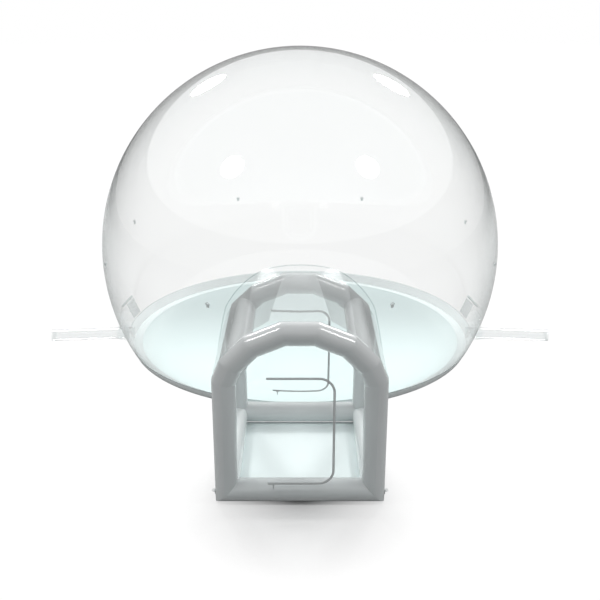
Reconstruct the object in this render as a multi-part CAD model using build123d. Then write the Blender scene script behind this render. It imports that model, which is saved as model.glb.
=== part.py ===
"""Clear inflatable bubble tent: a spherical canopy, its floor and an entrance tunnel framed by air tubes.

Units are millimetres. +Z is up and Z = 0 is the ground. The origin is the centre of the dome floor's
underside, and the tunnel leaves the dome towards -Y.
"""
from build123d import *
import os
from math import asin, cos, degrees, radians, sin, sqrt

# Dome
SPHERE_RADIUS = 2500.0
CENTRE_HEIGHT = 1193.0
CANOPY_WALL = 3.0
BAND_HEIGHT = 103.0
FLOOR_THICKNESS = 4.0
BORDER_WIDTH = 105.0
SKIN_GAP = 0.4
SECTOR_ANGLE = 30.0
TIER_HEIGHTS = [1193.0, 2324.0, 2930.0, 3358.0]

# Tunnel frame, made of air tubes
TUBE_RADIUS = 105.0
TUBE_WALL = 2.5
HALF_WIDTH = 660.0
CROWN_HEIGHT = 1629.0
CROWN_HALF = 140.0
UPPER_RUN = 300.0
SHOULDER_RUN = 255.0
TURN = 22.5
FRONT_Y = -3948.0
REAR_Y = -2463.0
REAR_LEAN = 6.7
SHOULDER_SHARE = 0.72
SHOULDER_INSET = 11.0

# Tunnel skin
SHEET = 2.5
SKIN_OFFSET = TUBE_RADIUS + 1.0
SKIN_START = FRONT_Y + 22.0
ROOF_FRONT_HALF = 264.0
NECK_OUTLINE = [(160.0, 1742.0), (480.0, 1628.0), (745.0, 1362.0), (840.0, 1060.0), (1000.0, 0.0)]

# Doors: the flap's outline is the closed line of its zip
INNER_DOOR_WIDTH = 606.0
INNER_DOOR_HEIGHT = 1006.0
INNER_DOOR_MIDDLE = 765.0
INNER_CORNER = 118.0
FRONT_DOOR_WIDTH = 593.0
FRONT_DOOR_HEIGHT = 1031.0
FRONT_DOOR_MIDDLE = 748.5
FRONT_CORNER = 134.0
DOOR_GAP = 3.0
HINGE_GAP = 1.0
TAPE_WIDTH = 9.0
TAPE_THICKNESS = 2.5
SLIDER_SIZE = (26.0, 8.0, 7.0)
PULL_SIZE = (9.0, 44.0, 2.5)

# Rings, valves, vents and ducts
RING_HEIGHT = 1273.0
RING_COUNT = 8
RING_RADIUS = 21.0
RING_WIRE = 4.0
RING_AXIS_OUT = 9.0
FOOT_RING_HEIGHT = 97.0
VALVE_RADIUS = 24.0
VALVE_PIN = 22.0
VALVE_PIN_OUT = 5.0
VALVE_Y = -3020.0
VENT_AZIMUTH = 7.8
VENT_HEIGHT = 222.0
VENT_SIZE = (250.0, 190.0)
VENT_FRAME = 14.0
ROLL_RADIUS = 16.0
ROLL_LENGTH = 390.0
ROLL_SHIFT = 35.0
DUCT_RADIUS = 70.0
DUCT_WALL = 2.5
DUCT_AZIMUTH = -5.3
DUCT_HEIGHT = 76.0
DUCT_REACH = 3257.0
COLLAR_RADIUS = 132.0
COLLAR_LENGTH = 150.0

BIG = 9000.0
CENTRE = Pos(0, 0, CENTRE_HEIGHT)


# ---------------------------------------------------------------- shared shapes
def ball(radius):
    """A ball about the dome's centre."""
    return CENTRE * Sphere(radius)


def shell(inner, outer):
    """A spherical layer about the dome's centre."""
    return ball(outer) - ball(inner)


def surface_frame(azimuth, height):
    """A plane on the dome: x runs level along the wall, y up it and z straight out of it."""
    rise = asin((height - CENTRE_HEIGHT) / SPHERE_RADIUS)
    turn = radians(azimuth)
    out = Vector(cos(rise) * cos(turn), cos(rise) * sin(turn), sin(rise))
    level = Vector(-sin(turn), cos(turn), 0)
    return Plane(origin=Vector(0, 0, CENTRE_HEIGHT) + out * SPHERE_RADIUS, x_dir=level, z_dir=out)


def arch_corners(offset):
    """Right-hand corners of the arch, top to bottom, at a distance outside its centreline."""
    x, z = CROWN_HALF, CROWN_HEIGHT
    spring_run = HALF_WIDTH - CROWN_HALF - UPPER_RUN * cos(radians(TURN)) - SHOULDER_RUN * cos(radians(2 * TURN))
    runs = [UPPER_RUN, SHOULDER_RUN, spring_run / cos(radians(3 * TURN))]
    centres = [(x, z)]
    for step, run in enumerate(runs, start=1):
        x += run * cos(radians(TURN * step))
        z -= run * sin(radians(TURN * step))
        centres.append((x, z))
    reach = offset / cos(radians(TURN / 2))
    corners = []
    for step, (cx, cz) in enumerate(centres):
        lean = radians(90 - TURN * (step + 0.5))
        corners.append((cx + reach * cos(lean), cz + reach * sin(lean)))
    return corners


def both_sides(right):
    """The outline from its right-hand end over the top to its left-hand end."""
    return list(reversed(right)) + [(-x, z) for x, z in right]


def upright(points):
    """A face in the XZ plane from (x, z) points."""
    edges = Polyline(*[(x, 0, z) for x, z in points], close=True)
    return make_face(edges)


def band_face(outer, inner):
    """A thin band between two open outlines in the XZ plane."""
    return upright(list(outer) + list(reversed(inner)))


def biggest(shape):
    """The largest solid of a shape, as one part."""
    return Part() + max(shape.solids(), key=lambda solid: solid.volume)


def front_place():
    return Pos(0, FRONT_Y, 0)


def rear_place():
    return Pos(0, REAR_Y, TUBE_RADIUS) * Rot(REAR_LEAN, 0, 0) * Pos(0, 0, -TUBE_RADIUS)


def shoulder_centre():
    """Centre of the shoulder tube, just inside the arch's 45 degree run."""
    corners = arch_corners(-SHOULDER_INSET)
    (x1, z1), (x2, z2) = corners[1], corners[2]
    return x1 + (x2 - x1) * SHOULDER_SHARE, z1 + (z2 - z1) * SHOULDER_SHARE


# ---------------------------------------------------------------- air tubes
def mitre_prism(inset):
    """The space under the two 45 degree mitres between the posts and the sill."""
    apex = HALF_WIDTH + TUBE_RADIUS - inset * sqrt(2)
    drop = 300.0
    face = upright([(0, apex), (apex + drop, -drop), (-apex - drop, -drop)])
    return extrude(face, amount=300.0, dir=(0, 1, 0), both=True)


def arch_core(radius, inset):
    """Posts and arch as one solid tube, cut at the sill mitres."""
    right = [(HALF_WIDTH, -250.0)] + list(reversed(arch_corners(0)))
    points = [(x, 0, z) for x, z in right] + [(-x, 0, z) for x, z in reversed(right)]
    section = Plane(origin=points[0], z_dir=(0, 0, 1)) * Circle(radius)
    run = sweep(section, path=Polyline(*points), transition=Transition.RIGHT)
    return biggest(run - mitre_prism(-inset))


def sill_core(radius, inset):
    """The sill as a solid tube between the mitres."""
    tube = Pos(0, 0, TUBE_RADIUS) * Rot(0, 90, 0) * Cylinder(radius, 2200.0)
    return biggest(tube & mitre_prism(inset))


def arch_tube():
    return arch_core(TUBE_RADIUS, 0) - arch_core(TUBE_RADIUS - TUBE_WALL, TUBE_WALL)


def arch_runs():
    """The arch tube divided at its welded mitres, one solid for each straight run."""
    tube = arch_tube()
    beyond = 1.4 * TUBE_RADIUS
    lines = []
    for offset in (beyond, -beyond):
        foot = (HALF_WIDTH + offset, -beyond)
        lines.append([foot] + both_sides(arch_corners(offset)) + [(-foot[0], foot[1])])
    runs = []
    for index in range(len(lines[0]) - 1):
        outside, inside = lines[0][index:index + 2], lines[1][index:index + 2]
        region = extrude(upright(outside + inside[::-1]), amount=beyond, dir=(0, 1, 0), both=True)
        runs.append((tube & region).solid())
    return Compound(runs)


def sill_tube():
    return sill_core(TUBE_RADIUS, 0.2) - sill_core(TUBE_RADIUS - TUBE_WALL, TUBE_WALL)


def joining_tube(x, z, ends, skin):
    """A tube along Y between the two arches, cut to fit against them and hollow."""
    length = REAR_Y - FRONT_Y + 400.0
    place = Pos(x, (REAR_Y + FRONT_Y) / 2 - 100.0, z) * Rot(90, 0, 0)
    outside = biggest(place * Cylinder(TUBE_RADIUS, length) - ends)
    inside = biggest(place * Cylinder(TUBE_RADIUS - TUBE_WALL, length) - skin)
    return outside - inside


def tunnel_ends(extra):
    """Blocks that end every joining tube: both frames, and all that lies beyond them."""
    arch = arch_core(TUBE_RADIUS + extra, 0)
    sill = sill_core(TUBE_RADIUS + extra, 0)
    beyond = Pos(0, 1000.0, 0) * Box(4000, 2000, 5000)
    front = front_place() * (arch + sill) + Pos(0, FRONT_Y - 1000.0, 0) * Box(4000, 2000, 5000)
    rear = rear_place() * (arch + sill + beyond)
    return front + rear


# ---------------------------------------------------------------- dome
def door_outline(width, height, corner, grow, hinge_gap=0.0):
    """A door outline with two round corners on its zip side and square ones on its hinge side."""
    sketch = Pos((grow + hinge_gap) / 2, 0) * Rectangle(width + grow - hinge_gap, height + 2 * grow)
    zip_side = sketch.vertices().group_by(Axis.X)[-1]
    return fillet(zip_side, corner + grow)


def through(plane, sketch, depth):
    """A sketch on a plane, extruded both ways."""
    return extrude(plane * sketch, amount=depth, both=True)


def inner_plane():
    return surface_frame(-90.0, INNER_DOOR_MIDDLE)


def inner_cut(grow, hinge_gap=0.0):
    outline = door_outline(INNER_DOOR_WIDTH, INNER_DOOR_HEIGHT, INNER_CORNER, grow, hinge_gap)
    return through(inner_plane(), outline, 250.0)


def vent_plane(side):
    azimuth = VENT_AZIMUTH if side > 0 else 180.0 - VENT_AZIMUTH
    return surface_frame(azimuth, VENT_HEIGHT)


def duct_line(radius, start, end, side):
    """A level cylinder along the duct's line, between two distances from the dome's axis."""
    azimuth = DUCT_AZIMUTH if side > 0 else 180.0 - DUCT_AZIMUTH
    bar = Pos((start + end) / 2, 0, 0) * Rot(0, 90, 0) * Cylinder(radius, end - start)
    return Pos(0, 0, DUCT_HEIGHT) * Rot(0, 0, azimuth) * bar


def dome_wall():
    """The whole dome wall from the ground up, with its door, vent and duct openings."""
    wall = shell(SPHERE_RADIUS - CANOPY_WALL, SPHERE_RADIUS)
    wall -= Pos(0, 0, -BIG / 2) * Box(BIG, BIG, BIG)
    wall -= inner_cut(0)
    for side in (1, -1):
        wall -= through(vent_plane(side), Rectangle(*VENT_SIZE), 120.0)
        wall -= duct_line(DUCT_RADIUS + SKIN_GAP, 1900.0, 2600.0, side)
    return wall


def sector(middle, low, high):
    """The room of one sector about an azimuth, between two heights."""
    half = radians(SECTOR_ANGLE / 2)
    far = [(BIG * cos(half), BIG * side * sin(half)) for side in (-1, 1)]
    face = Pos(0, 0, low) * make_face(Polyline((0, 0), *far, close=True))
    return Rot(0, 0, middle) * extrude(face, amount=high - low, dir=(0, 0, 1))


def wall_panels():
    """The wall as the panels that it is welded from, by node."""
    wall = dome_wall()
    azimuths = [SECTOR_ANGLE * step for step in range(round(360 / SECTOR_ANGLE))]
    door_side, right_side, left_side = 270.0, 0.0, 180.0
    door = (wall & sector(door_side, BAND_HEIGHT, TIER_HEIGHTS[1])).solid()
    nodes = {"dome_canopy": [], "base_band": [], "door_panel": [door]}
    for name, azimuth in (("right", right_side), ("left", left_side)):
        panel = wall & sector(azimuth, BAND_HEIGHT, TIER_HEIGHTS[0])
        nodes[f"vent_panel_{name}"] = [biggest(panel)]
    for azimuth in azimuths:
        nodes["base_band"] += (wall & sector(azimuth, 0, BAND_HEIGHT)).solids()
        levels = [BAND_HEIGHT, *TIER_HEIGHTS]
        if azimuth == door_side:
            levels = levels[2:]
        elif azimuth in (right_side, left_side):
            levels = levels[1:]
        for low, high in zip(levels, levels[1:]):
            nodes["dome_canopy"].append((wall & sector(azimuth, low, high)).solid())
    crown = wall & Pos(0, 0, TIER_HEIGHTS[-1] + BIG / 2) * Box(BIG, BIG, BIG)
    nodes["dome_canopy"].append(crown.solid())
    return {name: Compound(solids) for name, solids in nodes.items()}


def dome_floor():
    """The groundsheet, which ends just inside the band."""
    reach = sqrt(SPHERE_RADIUS**2 - CENTRE_HEIGHT**2) - CANOPY_WALL - 4.0
    return Pos(0, 0, FLOOR_THICKNESS / 2) * Cylinder(reach, FLOOR_THICKNESS)


def floor_border():
    """The pale strip welded round the edge of the groundsheet."""
    reach = sqrt(SPHERE_RADIUS**2 - CENTRE_HEIGHT**2) - CANOPY_WALL - 6.0
    ring = Cylinder(reach, 2.0) - Cylinder(reach - BORDER_WIDTH, 2.0)
    for side in (1, -1):
        ring -= Pos(0, 0, -FLOOR_THICKNESS) * duct_line(DUCT_RADIUS + 2.0, 1900.0, 2600.0, side)
    return Pos(0, 0, FLOOR_THICKNESS + 1.0) * ring


# ---------------------------------------------------------------- doors and zips
def tape_region(width, height, corner, outside):
    """The C-shaped strip on one side of a door's zip line; the hinge side stays open."""
    if outside:
        strip = door_outline(width, height, corner, TAPE_WIDTH) - door_outline(width, height, corner, 0)
    else:
        inner = door_outline(width, height, corner, -DOOR_GAP)
        strip = inner - door_outline(width, height, corner, -DOOR_GAP - TAPE_WIDTH)
    hinge_side = Pos(-width, 0) * Rectangle(width + 2 * TAPE_WIDTH, 3 * height)
    return strip - hinge_side


def zip_slider(x, y):
    """A zip slider with its pull tab, lying on the outer tape at a point of the zip line."""
    length, depth, proud = SLIDER_SIZE
    tab_width, tab_length, tab_thick = PULL_SIZE
    base = TAPE_THICKNESS + SKIN_GAP
    body = Pos(x, y - depth / 2 - 0.6, base + proud / 2) * Box(length, depth, proud)
    body = fillet(body.edges().filter_by(Axis.Z), 2.5)
    tab_y = y - depth - tab_length / 2 + 2.0
    tab = Pos(x, tab_y, base + proud - tab_thick / 2 + 1.0) * Box(tab_width, tab_length, tab_thick)
    hole = Pos(x, tab_y - tab_length / 2 + 8.0, base + proud) * Cylinder(2.2, 12.0)
    return body + tab - hole


def inner_door():
    """The clear flap in the dome wall, inside its zip line."""
    return biggest(shell(SPHERE_RADIUS - CANOPY_WALL, SPHERE_RADIUS) & inner_cut(-DOOR_GAP, HINGE_GAP))


def inner_tape(outside):
    region = tape_region(INNER_DOOR_WIDTH, INNER_DOOR_HEIGHT, INNER_CORNER, outside)
    layer = shell(SPHERE_RADIUS + SKIN_GAP / 2, SPHERE_RADIUS + TAPE_THICKNESS)
    return biggest(layer & through(inner_plane(), region, 120.0))


def inner_slider():
    half = INNER_DOOR_WIDTH / 2
    x = -half + 60.0
    drop = SPHERE_RADIUS - sqrt(SPHERE_RADIUS**2 - x**2 - (INNER_DOOR_HEIGHT / 2) ** 2)
    lean = degrees(asin(INNER_DOOR_HEIGHT / 2 / SPHERE_RADIUS))
    place = inner_plane().location * Pos(x, -INNER_DOOR_HEIGHT / 2, -drop + 4.0)
    return place * Rot(lean, 0, 0) * zip_slider(0, 0)


def front_plane():
    """Plane of the front panel's outer face, looking out of the tunnel."""
    origin = (0, FRONT_Y - TUBE_RADIUS - SHEET, FRONT_DOOR_MIDDLE)
    return Plane(origin=origin, x_dir=(1, 0, 0), z_dir=(0, -1, 0))


def front_panel():
    """The clear end wall on the front faces of the arch, with the door's opening in it."""
    right = [(HALF_WIDTH + 12.0, 92.0)] + list(reversed(arch_corners(12.0)))
    face = upright(right + [(-x, z) for x, z in reversed(right)])
    sheet = extrude(face, amount=SHEET, dir=(0, -1, 0))
    sheet = Pos(0, FRONT_Y - TUBE_RADIUS, 0) * sheet
    outline = door_outline(FRONT_DOOR_WIDTH, FRONT_DOOR_HEIGHT, FRONT_CORNER, 0)
    return sheet - through(front_plane(), outline, 30.0)


def front_door():
    outline = door_outline(FRONT_DOOR_WIDTH, FRONT_DOOR_HEIGHT, FRONT_CORNER, -DOOR_GAP, HINGE_GAP)
    return extrude(front_plane() * outline, amount=-SHEET)


def front_tape(outside):
    region = tape_region(FRONT_DOOR_WIDTH, FRONT_DOOR_HEIGHT, FRONT_CORNER, outside)
    return extrude(front_plane() * region, amount=TAPE_THICKNESS)


def front_slider():
    x = -FRONT_DOOR_WIDTH / 2 + 60.0
    return front_plane().location * zip_slider(x, -FRONT_DOOR_HEIGHT / 2)


# ---------------------------------------------------------------- tunnel skin
def roof_sections(offset):
    """Front and rear outlines of the roof; its crown is wider at the front."""
    rear = arch_corners(offset)
    crown = CROWN_HEIGHT + offset
    front = [(ROOF_FRONT_HALF, crown)] + rear[1:]
    return both_sides(front), both_sides(rear)


def tunnel_roof():
    front_in, rear_in = roof_sections(SKIN_OFFSET)
    front_out, rear_out = roof_sections(SKIN_OFFSET + SHEET)
    front = Pos(0, SKIN_START, 0) * band_face(front_out, front_in)
    rear = rear_place() * band_face(rear_out, rear_in)
    return loft([front, rear], ruled=True)


def tunnel_wall(side):
    """A clear side wall from the floor tube up to the roof's lower corner."""
    near = HALF_WIDTH + SKIN_OFFSET
    far = near + SHEET
    top = arch_corners(SKIN_OFFSET)[-1][1] - 0.5
    face = upright([(side * near, 40.0), (side * far, 40.0), (side * far, top), (side * near, top)])
    return loft([Pos(0, SKIN_START, 0) * face, rear_place() * face], ruled=True)


def tunnel_floor():
    """The tunnel's groundsheet, lying between its four floor tubes."""
    near = FRONT_Y + 40.0
    far = REAR_Y - 40.0
    return Pos(0, (near + far) / 2, FLOOR_THICKNESS / 2) * Box(2 * 622.0, far - near, FLOOR_THICKNESS)


def neck_sections(offset, spread):
    """Outline at the rear arch, and the outline that its lines to the dome reach on a plane inside it."""
    outline = arch_corners(offset) + [(HALF_WIDTH + offset, 1.0)]
    place = rear_place()
    slope = 500.0 / 1760.0
    reached = []
    for (x, z), (nx, nz) in zip(outline, NECK_OUTLINE):
        start = Vector(*(place * Pos(x, 0, z)).position)
        wide = nx + spread * (1.0 if nz < CROWN_HEIGHT else 0.3)
        high = nz + (spread if nz > 1000.0 else 0.0)
        end = Vector(wide, -sqrt(SPHERE_RADIUS**2 - wide**2 - (high - CENTRE_HEIGHT) ** 2), high)
        line = end - start
        share = (-2400.0 + slope * (1760.0 - start.Z) - start.Y) / (line.Y + slope * line.Z)
        reached.append(start + line * share)
    return outline, reached


def neck_sleeve():
    """The clear sleeve that widens from the rear arch to the dome wall."""
    arch_in, dome_in = neck_sections(SKIN_OFFSET, 0)
    arch_out, dome_out = neck_sections(SKIN_OFFSET + SHEET, SHEET)
    start = rear_place() * band_face(both_sides(arch_out), both_sides(arch_in))
    outer = [Vector(-p.X, p.Y, p.Z) for p in reversed(dome_out)] + dome_out
    inner = [Vector(-p.X, p.Y, p.Z) for p in reversed(dome_in)] + dome_in
    end = make_face(Polyline(*outer, *reversed(inner), close=True))
    sleeve = loft([start, end], ruled=True) - ball(SPHERE_RADIUS + SKIN_GAP)
    return sleeve - Pos(0, 0, -500.0) * Box(BIG, BIG, 1000.0)


def neck_floor():
    """The small groundsheet between the rear sill and the dome."""
    edge = REAR_Y + 40.0
    reach = sqrt(SPHERE_RADIUS**2 - CENTRE_HEIGHT**2)
    sheet = Pos(0, (edge + -1990.0) / 2, FLOOR_THICKNESS / 2) * Box(1500.0, -1990.0 - edge, FLOOR_THICKNESS)
    return biggest(sheet - Cylinder(reach + 4.0, 40.0))


# ---------------------------------------------------------------- rings and valves
def ring_loop():
    """A D-shaped ring: its straight bar lies on the x axis and its bow stands up along y."""
    bow = Torus(RING_RADIUS, RING_WIRE) & Pos(0, RING_RADIUS + RING_WIRE, 0) * Box(90, 2 * RING_RADIUS + 8, 20)
    bar = Rot(0, 90, 0) * Cylinder(RING_WIRE, 2 * RING_RADIUS)
    ring = bow + bar
    for side in (1, -1):
        ring += Pos(side * RING_RADIUS, 0, 0) * Sphere(RING_WIRE)
    return ring


def ring_patch():
    """A welded patch with the sleeve that holds a ring's bar. Its back is 0.2 off the wall's tangent."""
    patch = fillet(Rectangle(34, 40).vertices(), 8)
    plate = Pos(0, -17, 1.2) * extrude(patch, amount=3.0)
    outer = Rot(0, 90, 0) * Cylinder(RING_WIRE + 2.5, 20)
    web = Pos(0, -8, (RING_AXIS_OUT + 1.2) / 2) * Box(20, 12, RING_AXIS_OUT - 1.2)
    bore = Rot(0, 90, 0) * Cylinder(RING_WIRE + 0.3, 24)
    return plate + web + Pos(0, 0, RING_AXIS_OUT) * (outer - bore) - Pos(0, 0, RING_AXIS_OUT) * bore


def ring_plane(index):
    azimuth = -90.0 + 22.5 + index * 360.0 / RING_COUNT
    return surface_frame(azimuth, RING_HEIGHT)


def foot_plane(side):
    """Where a foot ring is fixed: on the outer side of a front post, its ring level."""
    origin = (side * (HALF_WIDTH + TUBE_RADIUS), FRONT_Y, FOOT_RING_HEIGHT)
    return Plane(origin=origin, x_dir=(0, side, 0), z_dir=(side, 0, 0))


def foot_ring_turn():
    """The foot ring stands straight out from its patch."""
    return Pos(0, 0, RING_AXIS_OUT) * Rot(90, 0, 0)


def valve_plane(side):
    """On the outer upper side of a shoulder tube."""
    x, z = shoulder_centre()
    lean = radians(100.0)
    out = Vector(side * sin(lean), 0, cos(lean))
    origin = Vector(side * x, VALVE_Y, z) + out * TUBE_RADIUS
    return Plane(origin=origin, x_dir=(0, side, 0), z_dir=out)


def valve_body():
    """A low welded base with a raised round neck."""
    base = Pos(0, 0, 1.8) * Cylinder(VALVE_RADIUS, 3.2)
    neck = Pos(0, 0, 3.0) * Cylinder(VALVE_RADIUS * 0.62, 6.0)
    ear = Pos(0, -VALVE_PIN, 3.5) * Box(9, 4, 7)
    bore = Pos(0, 0, 3.0) * Cylinder(VALVE_RADIUS * 0.42, 12.0)
    pin_bore = Pos(0, -VALVE_PIN, VALVE_PIN_OUT) * Rot(0, 90, 0) * Cylinder(1.0, 20.0)
    return base + neck + ear - bore - pin_bore


def valve_cap():
    """The push-in cap, with the two cheeks and the pin that it turns on."""
    top = Pos(0, 0, 8.0) * Cylinder(VALVE_RADIUS * 0.72, 3.0)
    plug = Pos(0, 0, 4.5) * Cylinder(VALVE_RADIUS * 0.42 - 0.4, 5.0)
    pin = Pos(0, -VALVE_PIN, VALVE_PIN_OUT) * Rot(0, 90, 0) * Cylinder(0.95, 15.0)
    arms = Part()
    for side in (1, -1):
        arms += Pos(side * 6.2, -VALVE_PIN, VALVE_PIN_OUT) * Rot(0, 90, 0) * Cylinder(1.4, 2.6)
        arms += Pos(side * 6.2, -VALVE_PIN, 7.0) * Box(2.6, 1.8, 4.0)
        arms += Pos(side * 6.2, -VALVE_PIN + 5.0, 8.2) * Box(2.6, 11.0, 2.4)
    return top + plug + pin + arms


# ---------------------------------------------------------------- vents and ducts
def vent_frame(side):
    """The welded border round a vent's window, on the outside of the wall."""
    width, height = VENT_SIZE
    border = Rectangle(width + 2 * VENT_FRAME, height + 2 * VENT_FRAME) - Rectangle(width - 12, height - 12)
    layer = shell(SPHERE_RADIUS + SKIN_GAP, SPHERE_RADIUS + 4.0)
    return biggest(layer & through(vent_plane(side), border, 60.0))


def vent_window(side):
    """The fine mesh that fills a vent's opening."""
    width, height = VENT_SIZE
    pane = Rectangle(width - 1.0, height - 1.0)
    layer = shell(SPHERE_RADIUS - CANOPY_WALL, SPHERE_RADIUS)
    return biggest(layer & through(vent_plane(side), pane, 60.0))


def roll_place(side):
    """Axis of a vent's rolled-up flap, above its frame and set a little to the front."""
    up = VENT_SIZE[1] / 2 + VENT_FRAME + ROLL_RADIUS + 4.0
    drop = up**2 / (2 * SPHERE_RADIUS)
    place = vent_plane(side).location * Pos(-side * ROLL_SHIFT, up, ROLL_RADIUS + 7.0 - drop)
    return place * Rot(0, 90, 0)


def vent_roll(side):
    return roll_place(side) * Cylinder(ROLL_RADIUS, ROLL_LENGTH)


def vent_ties(side):
    """Two straps round a rolled-up flap."""
    straps = Part()
    for step in (-1, 1):
        band = Cylinder(ROLL_RADIUS + 2.2, 14.0) - Cylinder(ROLL_RADIUS + 0.2, 14.0)
        straps += roll_place(side) * Pos(0, 0, step * 105.0) * band
    return straps


def duct_sleeve(side):
    """The clear air sleeve, from just inside the dome wall to its open outer end."""
    start = sqrt(SPHERE_RADIUS**2 - (DUCT_HEIGHT - CENTRE_HEIGHT) ** 2) - 45.0
    outside = duct_line(DUCT_RADIUS, start, DUCT_REACH, side)
    return outside - duct_line(DUCT_RADIUS - DUCT_WALL, start - 5.0, DUCT_REACH + 5.0, side)


def duct_cuff(side):
    """The folded hem at a sleeve's outer end, which ties round a blower's outlet."""
    ring = duct_line(DUCT_RADIUS + 3.0, DUCT_REACH - 42.0, DUCT_REACH - 4.0, side)
    return ring - duct_line(DUCT_RADIUS + 0.3, DUCT_REACH - 60.0, DUCT_REACH + 5.0, side)


def duct_collar(side):
    """The flared collar that welds a sleeve to the dome."""
    azimuth = DUCT_AZIMUTH if side > 0 else 180.0 - DUCT_AZIMUTH
    wall_at = sqrt(SPHERE_RADIUS**2 - (DUCT_HEIGHT - CENTRE_HEIGHT) ** 2)
    length = COLLAR_LENGTH + 60.0
    outer = Cone(COLLAR_RADIUS, DUCT_RADIUS + 3.2, length)
    inner = Cone(COLLAR_RADIUS - SHEET, DUCT_RADIUS + 0.4, length + 0.01)
    place = Pos(0, 0, DUCT_HEIGHT) * Rot(0, 0, azimuth) * Pos(wall_at + COLLAR_LENGTH / 2, 0, 0)
    flare = place * Rot(0, 90, 0) * (outer - inner)
    flare -= ball(SPHERE_RADIUS + SKIN_GAP)
    flare -= Pos(0, 0, -500.0) * Box(BIG, BIG, 1000.0)
    return biggest(flare)


# ---------------------------------------------------------------- the assembly
def build():
    """Every node of the tent, by name."""
    ends, skin = tunnel_ends(SKIN_GAP), tunnel_ends(TUBE_WALL + SKIN_GAP)
    shoulder_x, shoulder_z = shoulder_centre()
    arch, sill = arch_runs(), sill_tube()
    shoulder = joining_tube(shoulder_x, shoulder_z, ends, skin)
    floor_tube = joining_tube(HALF_WIDTH, TUBE_RADIUS, ends, skin)
    parts = {
        **wall_panels(),
        "dome_floor": dome_floor(),
        "floor_border": floor_border(),
        "front_arch": front_place() * arch,
        "front_sill": front_place() * sill,
        "rear_arch": rear_place() * arch,
        "rear_sill": rear_place() * sill,
        "shoulder_tube_right": shoulder,
        "shoulder_tube_left": mirror(shoulder, about=Plane.YZ),
        "floor_tube_right": floor_tube,
        "floor_tube_left": mirror(floor_tube, about=Plane.YZ),
        "tunnel_roof": tunnel_roof(),
        "tunnel_wall_right": tunnel_wall(1),
        "tunnel_wall_left": tunnel_wall(-1),
        "tunnel_floor": tunnel_floor(),
        "neck_sleeve": neck_sleeve(),
        "neck_floor": neck_floor(),
        "front_panel": front_panel(),
        "front_door": front_door(),
        "front_zip_frame_tape": front_tape(True),
        "front_zip_door_tape": front_tape(False),
        "front_zip_slider": front_slider(),
        "inner_door": inner_door(),
        "inner_zip_frame_tape": inner_tape(True),
        "inner_zip_door_tape": inner_tape(False),
        "inner_zip_slider": inner_slider(),
    }
    patches = Part()
    for index in range(RING_COUNT):
        place = ring_plane(index).location
        patches += place * ring_patch()
        parts[f"ring_{index + 1}"] = place * Pos(0, 0, RING_AXIS_OUT) * ring_loop()
    parts["ring_patches"] = patches
    foot_patches = Part()
    valves = Part()
    for side, name in ((1, "right"), (-1, "left")):
        foot = foot_plane(side).location
        foot_patches += foot * ring_patch()
        parts[f"foot_ring_{name}"] = foot * foot_ring_turn() * ring_loop()
        valve = valve_plane(side).location
        valves += valve * valve_body()
        parts[f"valve_cap_{name}"] = valve * valve_cap()
        parts[f"vent_frame_{name}"] = vent_frame(side)
        parts[f"vent_mesh_{name}"] = vent_window(side)
        parts[f"vent_roll_{name}"] = vent_roll(side)
        parts[f"vent_ties_{name}"] = vent_ties(side)
        parts[f"duct_sleeve_{name}"] = duct_sleeve(side)
        parts[f"duct_cuff_{name}"] = duct_cuff(side)
        parts[f"duct_collar_{name}"] = duct_collar(side)
    parts["foot_patches"] = foot_patches
    parts["valve_bodies"] = valves
    return parts


def main():
    os.makedirs("parts", exist_ok=True)
    for name, part in build().items():
        export_step(part, f"parts/{name}.step")


main()
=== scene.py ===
"""Clear inflatable bubble tent: a spherical film dome on a groundsheet, with a tunnel framed by air tubes.

Units are metres. +Z is up, Z = 0 is the ground and the tunnel leaves the dome towards -Y.
"""
import logging
from collections.abc import Callable, Sequence
from dataclasses import dataclass, field
from enum import Enum
from math import asin, cos, exp, pi, radians, sin, sqrt

import bmesh
import bpy
from mathutils import Matrix, Vector
from mathutils.geometry import tessellate_polygon


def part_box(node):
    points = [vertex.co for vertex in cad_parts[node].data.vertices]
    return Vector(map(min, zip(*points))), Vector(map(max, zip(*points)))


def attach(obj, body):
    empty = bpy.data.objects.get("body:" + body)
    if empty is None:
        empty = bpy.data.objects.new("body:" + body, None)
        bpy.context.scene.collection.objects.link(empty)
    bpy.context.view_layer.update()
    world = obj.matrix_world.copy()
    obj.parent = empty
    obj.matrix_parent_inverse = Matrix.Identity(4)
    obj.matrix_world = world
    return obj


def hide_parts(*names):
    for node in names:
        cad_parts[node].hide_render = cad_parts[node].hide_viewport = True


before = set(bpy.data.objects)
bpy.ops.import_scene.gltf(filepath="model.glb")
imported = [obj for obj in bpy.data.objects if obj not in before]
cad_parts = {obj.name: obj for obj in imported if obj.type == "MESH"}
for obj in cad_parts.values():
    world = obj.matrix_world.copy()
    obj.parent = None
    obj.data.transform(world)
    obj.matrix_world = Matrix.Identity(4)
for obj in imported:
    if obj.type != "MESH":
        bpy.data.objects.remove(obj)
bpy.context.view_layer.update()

LOG = logging.getLogger("bubble_tent")
Point2 = tuple[float, float]
Colour = tuple[float, float, float]
SHEET_CREASE = 35.0  # degrees; a sheet's edge that turns by more than this is sharp
MITRE_CREASE = 12.0  # the same for air tubes and the panels between them
FOLD_CREASE = 60.0  # the same for folded and rolled film
OFF_GROUND = 0.0005  # height of a sheet's underside over the ground


class Body(Enum):
    """The bodies that the pieces of this script ride on."""

    TENT = "tent"
    FRONT_DOOR = "front_door"
    INNER_DOOR = "inner_door"


class Side(Enum):
    """The two sides of the tent, seen from the tunnel's mouth."""

    RIGHT = 1
    LEFT = -1

    @property
    def label(self) -> str:
        """The side's word in a piece's name."""
        return self.name.lower()


class Cut(Enum):
    """What is kept of a piece when another shape cuts it."""

    OUTSIDE = "DIFFERENCE"
    INSIDE = "INTERSECT"


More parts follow.
